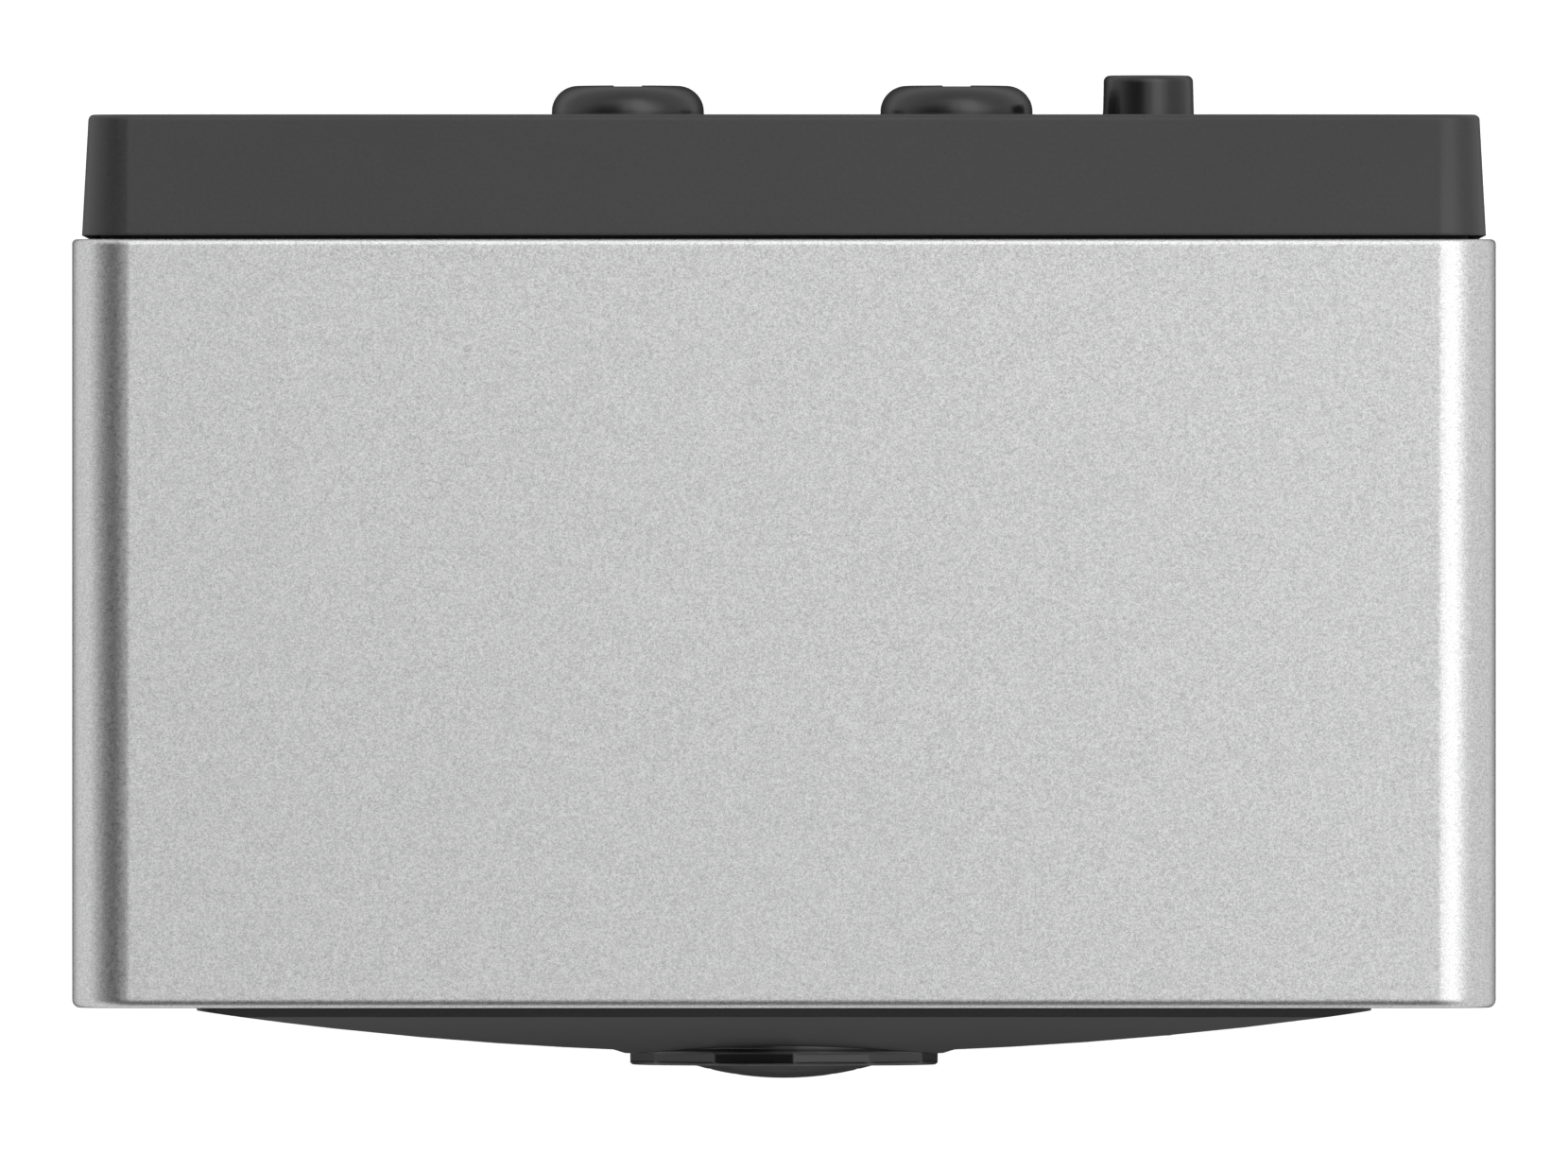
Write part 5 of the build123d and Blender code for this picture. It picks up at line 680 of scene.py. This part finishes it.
# ---------------------------------------------------------------- mesh pieces
def add_piece(name, mesh, material, body, smooth=True):
    """Links a mesh as a piece of the object, on that body."""
    piece = bpy.data.objects.new(name, mesh)
    bpy.context.scene.collection.objects.link(piece)
    mesh.materials.clear()
    mesh.materials.append(material)
    for face in mesh.polygons:
        face.use_smooth = smooth
    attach(piece, body)
    return piece


def sheet_disc(name, radius, y, z, relief, rings=48, sides=160):
    """A round sheet facing the front, with relief(x, z) metres of height towards the front."""
    points = [(0.0, y - relief(0.0, 0.0), z)]
    faces = []
    for ring in range(1, rings + 1):
        for dx, dz, _ in level_circle(radius * ring / rings, sides, 0.0):
            points.append((dx, y - relief(dx, dz), z + dz))
        faces += ring_faces(ring, sides)
    mesh = bpy.data.meshes.new(name)
    mesh.from_pydata(points, [], faces)
    return mesh


low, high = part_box("grille_cloth")
cloth_radius = (high.x - low.x) / 2
cloth_y = (low.y + high.y) / 2
cloth_z = (low.z + high.z) / 2
CLOTH_DIP = 0.05 * MM
RIB_PITCH = 2.9 * MM


def cloth_relief(dx, dz):
    """The stretched cloth dips slightly between the grille's ribs and is flat at its glued rim."""
    reach = math.hypot(dx, dz) / cloth_radius
    return CLOTH_DIP * math.cos(2 * math.pi * dz / RIB_PITCH) * max(0.0, 1.0 - reach**4)


cloth = add_piece(
    "grille_sheet",
    sheet_disc("grille_sheet", cloth_radius, cloth_y, cloth_z, cloth_relief),
    MATERIALS["grille_fabric"],
    "housing",
)
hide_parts("grille_cloth")


def turned(name, profile, z, sides=160):
    """A solid turned about the front-to-back line at height z, from (radius, depth) points."""
    mesh = bpy.data.meshes.new(name)
    bm = bmesh.new()
    rows = []
    for reach, y in profile:
        if reach == 0.0:
            rows.append([bm.verts.new((0.0, y, z))])
        else:
            circle = level_circle(reach, sides, 0.0)
            rows.append([bm.verts.new((dx, y, z + dz)) for dx, dz, _ in circle])
    for first, second in zip(rows, rows[1:]):
        for i in range(sides):
            j = (i + 1) % sides
            if len(first) == 1:
                bm.faces.new((first[0], second[i], second[j]))
            elif len(second) == 1:
                bm.faces.new((first[i], second[0], first[j]))
            else:
                bm.faces.new((first[i], second[i], second[j], first[j]))
    bmesh.ops.recalc_face_normals(bm, faces=bm.faces)
    bm.to_mesh(mesh)
    bm.free()
    return mesh


SHARP_ANGLE = math.radians(40.0)


def keep_corners(piece):
    """Sharp edges stay sharp and the rest shades smoothly."""
    mesh = piece.data
    bm = bmesh.new()
    bm.from_mesh(mesh)
    for edge in bm.edges:
        if len(edge.link_faces) == 2 and edge.calc_face_angle(0.0) > SHARP_ANGLE:
            edge.smooth = False
    bm.to_mesh(mesh)
    bm.free()


# The record button's lens: a shallow dome with a fine step near its rim, on its round stem.
low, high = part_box("record_button")
lens_radius = (high.x - low.x) / 2
lens_z = (low.z + high.z) / 2
LENS_SPHERE = 14.7 * MM
LENS_BODY = 2.65 * MM
STEM_RADIUS = 2.0 * MM
EDGE = 0.12 * MM
LENS_STEPS = 28
EDGE_STEPS = 6
# fine turned grooves in the dome: share of its radius, and depth
GROOVES = ((0.80, 0.022 * MM), (0.52, 0.014 * MM))
GROOVE_WIDTH = 0.012


def lens_depth(reach):
    return low.y + LENS_SPHERE - math.sqrt(LENS_SPHERE**2 - reach**2)


lens_profile = [(0.0, low.y)]
for step in range(1, LENS_STEPS + 1):
    reach = (lens_radius - EDGE) * step / LENS_STEPS
    groove = 0.0
    for place, depth in GROOVES:
        groove += depth * math.exp(-(((reach / lens_radius - place) / GROOVE_WIDTH) ** 2))
    lens_profile.append((reach, lens_depth(reach) + groove))
rim_y = lens_depth(lens_radius - EDGE)
for step in range(1, EDGE_STEPS + 1):
    turn = math.pi / 2 * step / EDGE_STEPS
    reach = lens_radius - EDGE + EDGE * math.sin(turn)
    lens_profile.append((reach, rim_y + EDGE * (1 - math.cos(turn))))
lens_back = low.y + LENS_BODY
lens_profile += [
    (lens_radius, lens_back - EDGE),
    (lens_radius - EDGE, lens_back),
    (STEM_RADIUS + EDGE, lens_back),
    (STEM_RADIUS, lens_back + EDGE),
    (STEM_RADIUS, high.y - EDGE),
    (STEM_RADIUS - EDGE, high.y),
    (0.0, high.y),
]
lens = add_piece(
    "record_lens",
    turned("record_lens", lens_profile, lens_z),
    MATERIALS["gloss_black"],
    "record_key",
)
keep_corners(lens)
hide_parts("record_button")

# The cassette's pressure pad: a wool pillow glued on a thin bronze leaf, bowed to press the tape.
low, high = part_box("pressure_pad")
pad_x, pad_y = (low.x + high.x) / 2, (low.y + high.y) / 2
LEAF_THICK = 0.15 * MM
LEAF_MARGIN = 0.6 * MM
LEAF_CROWN = 1.1 * MM
LEAF_STEPS = 24
FELT_HALF = 1.9 * MM
FELT_MARGIN = 0.1 * MM
FELT_HEIGHT = 0.95 * MM
FELT_GAP = 0.02 * MM
PILLOW_CUTS = 9


def bowed_leaf(name, half, y_low, y_high, z_end, z_mid):
    """A thin strip along X, highest at its middle."""
    mesh = bpy.data.meshes.new(name)
    bm = bmesh.new()
    rows = []
    for i in range(LEAF_STEPS + 1):
        t = -1 + 2 * i / LEAF_STEPS
        x = pad_x + half * t
        z = z_mid + (z_end - z_mid) * t * t
        corners = ((y_low, z), (y_high, z), (y_high, z + LEAF_THICK), (y_low, z + LEAF_THICK))
        rows.append([bm.verts.new((x, *corner)) for corner in corners])
    for first, second in zip(rows, rows[1:]):
        for i in range(4):
            j = (i + 1) % 4
            bm.faces.new((first[i], first[j], second[j], second[i]))
    bm.faces.new(rows[0])
    bm.faces.new(list(reversed(rows[-1])))
    bmesh.ops.recalc_face_normals(bm, faces=bm.faces)
    bm.to_mesh(mesh)
    bm.free()
    return mesh


def pillow(name, half_x, half_y, z_low, z_high):
    """A closed pad with soft corners, a crowned face and sides that bulge at mid height."""
    mesh = bpy.data.meshes.new(name)
    bm = bmesh.new()
    bmesh.ops.create_cube(bm, size=2.0)
    bmesh.ops.subdivide_edges(bm, edges=bm.edges, cuts=PILLOW_CUTS, use_grid_fill=True)
    for v in bm.verts:
        x, y, z = v.co
        crown = (1 - x**4) * (1 - y**4)
        bulge = 0.94 + 0.06 * (1 - z * z)
        height = (z_low + z_high) / 2 + (z_high - z_low) / 2 * z * (0.82 + 0.18 * crown)
        v.co = (pad_x + half_x * x * bulge, pad_y + half_y * y * bulge, height)
    bm.to_mesh(mesh)
    bm.free()
    return mesh


leaf_mesh = bowed_leaf(
    "pad_leaf",
    (high.x - low.x) / 2,
    low.y + LEAF_MARGIN,
    high.y - LEAF_MARGIN,
    low.z,
    high.z - LEAF_CROWN,
)
leaf = add_piece("pad_leaf", leaf_mesh, MATERIALS["brass"], "housing", False)
felt_mesh = pillow(
    "pad_felt",
    FELT_HALF,
    (high.y - low.y) / 2 - FELT_MARGIN,
    high.z - FELT_HEIGHT,
    high.z - FELT_GAP,
)
felt = add_piece("pad_felt", felt_mesh, MATERIALS["felt"], "housing")
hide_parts("pressure_pad")
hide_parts("pressure_pad")

low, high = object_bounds()
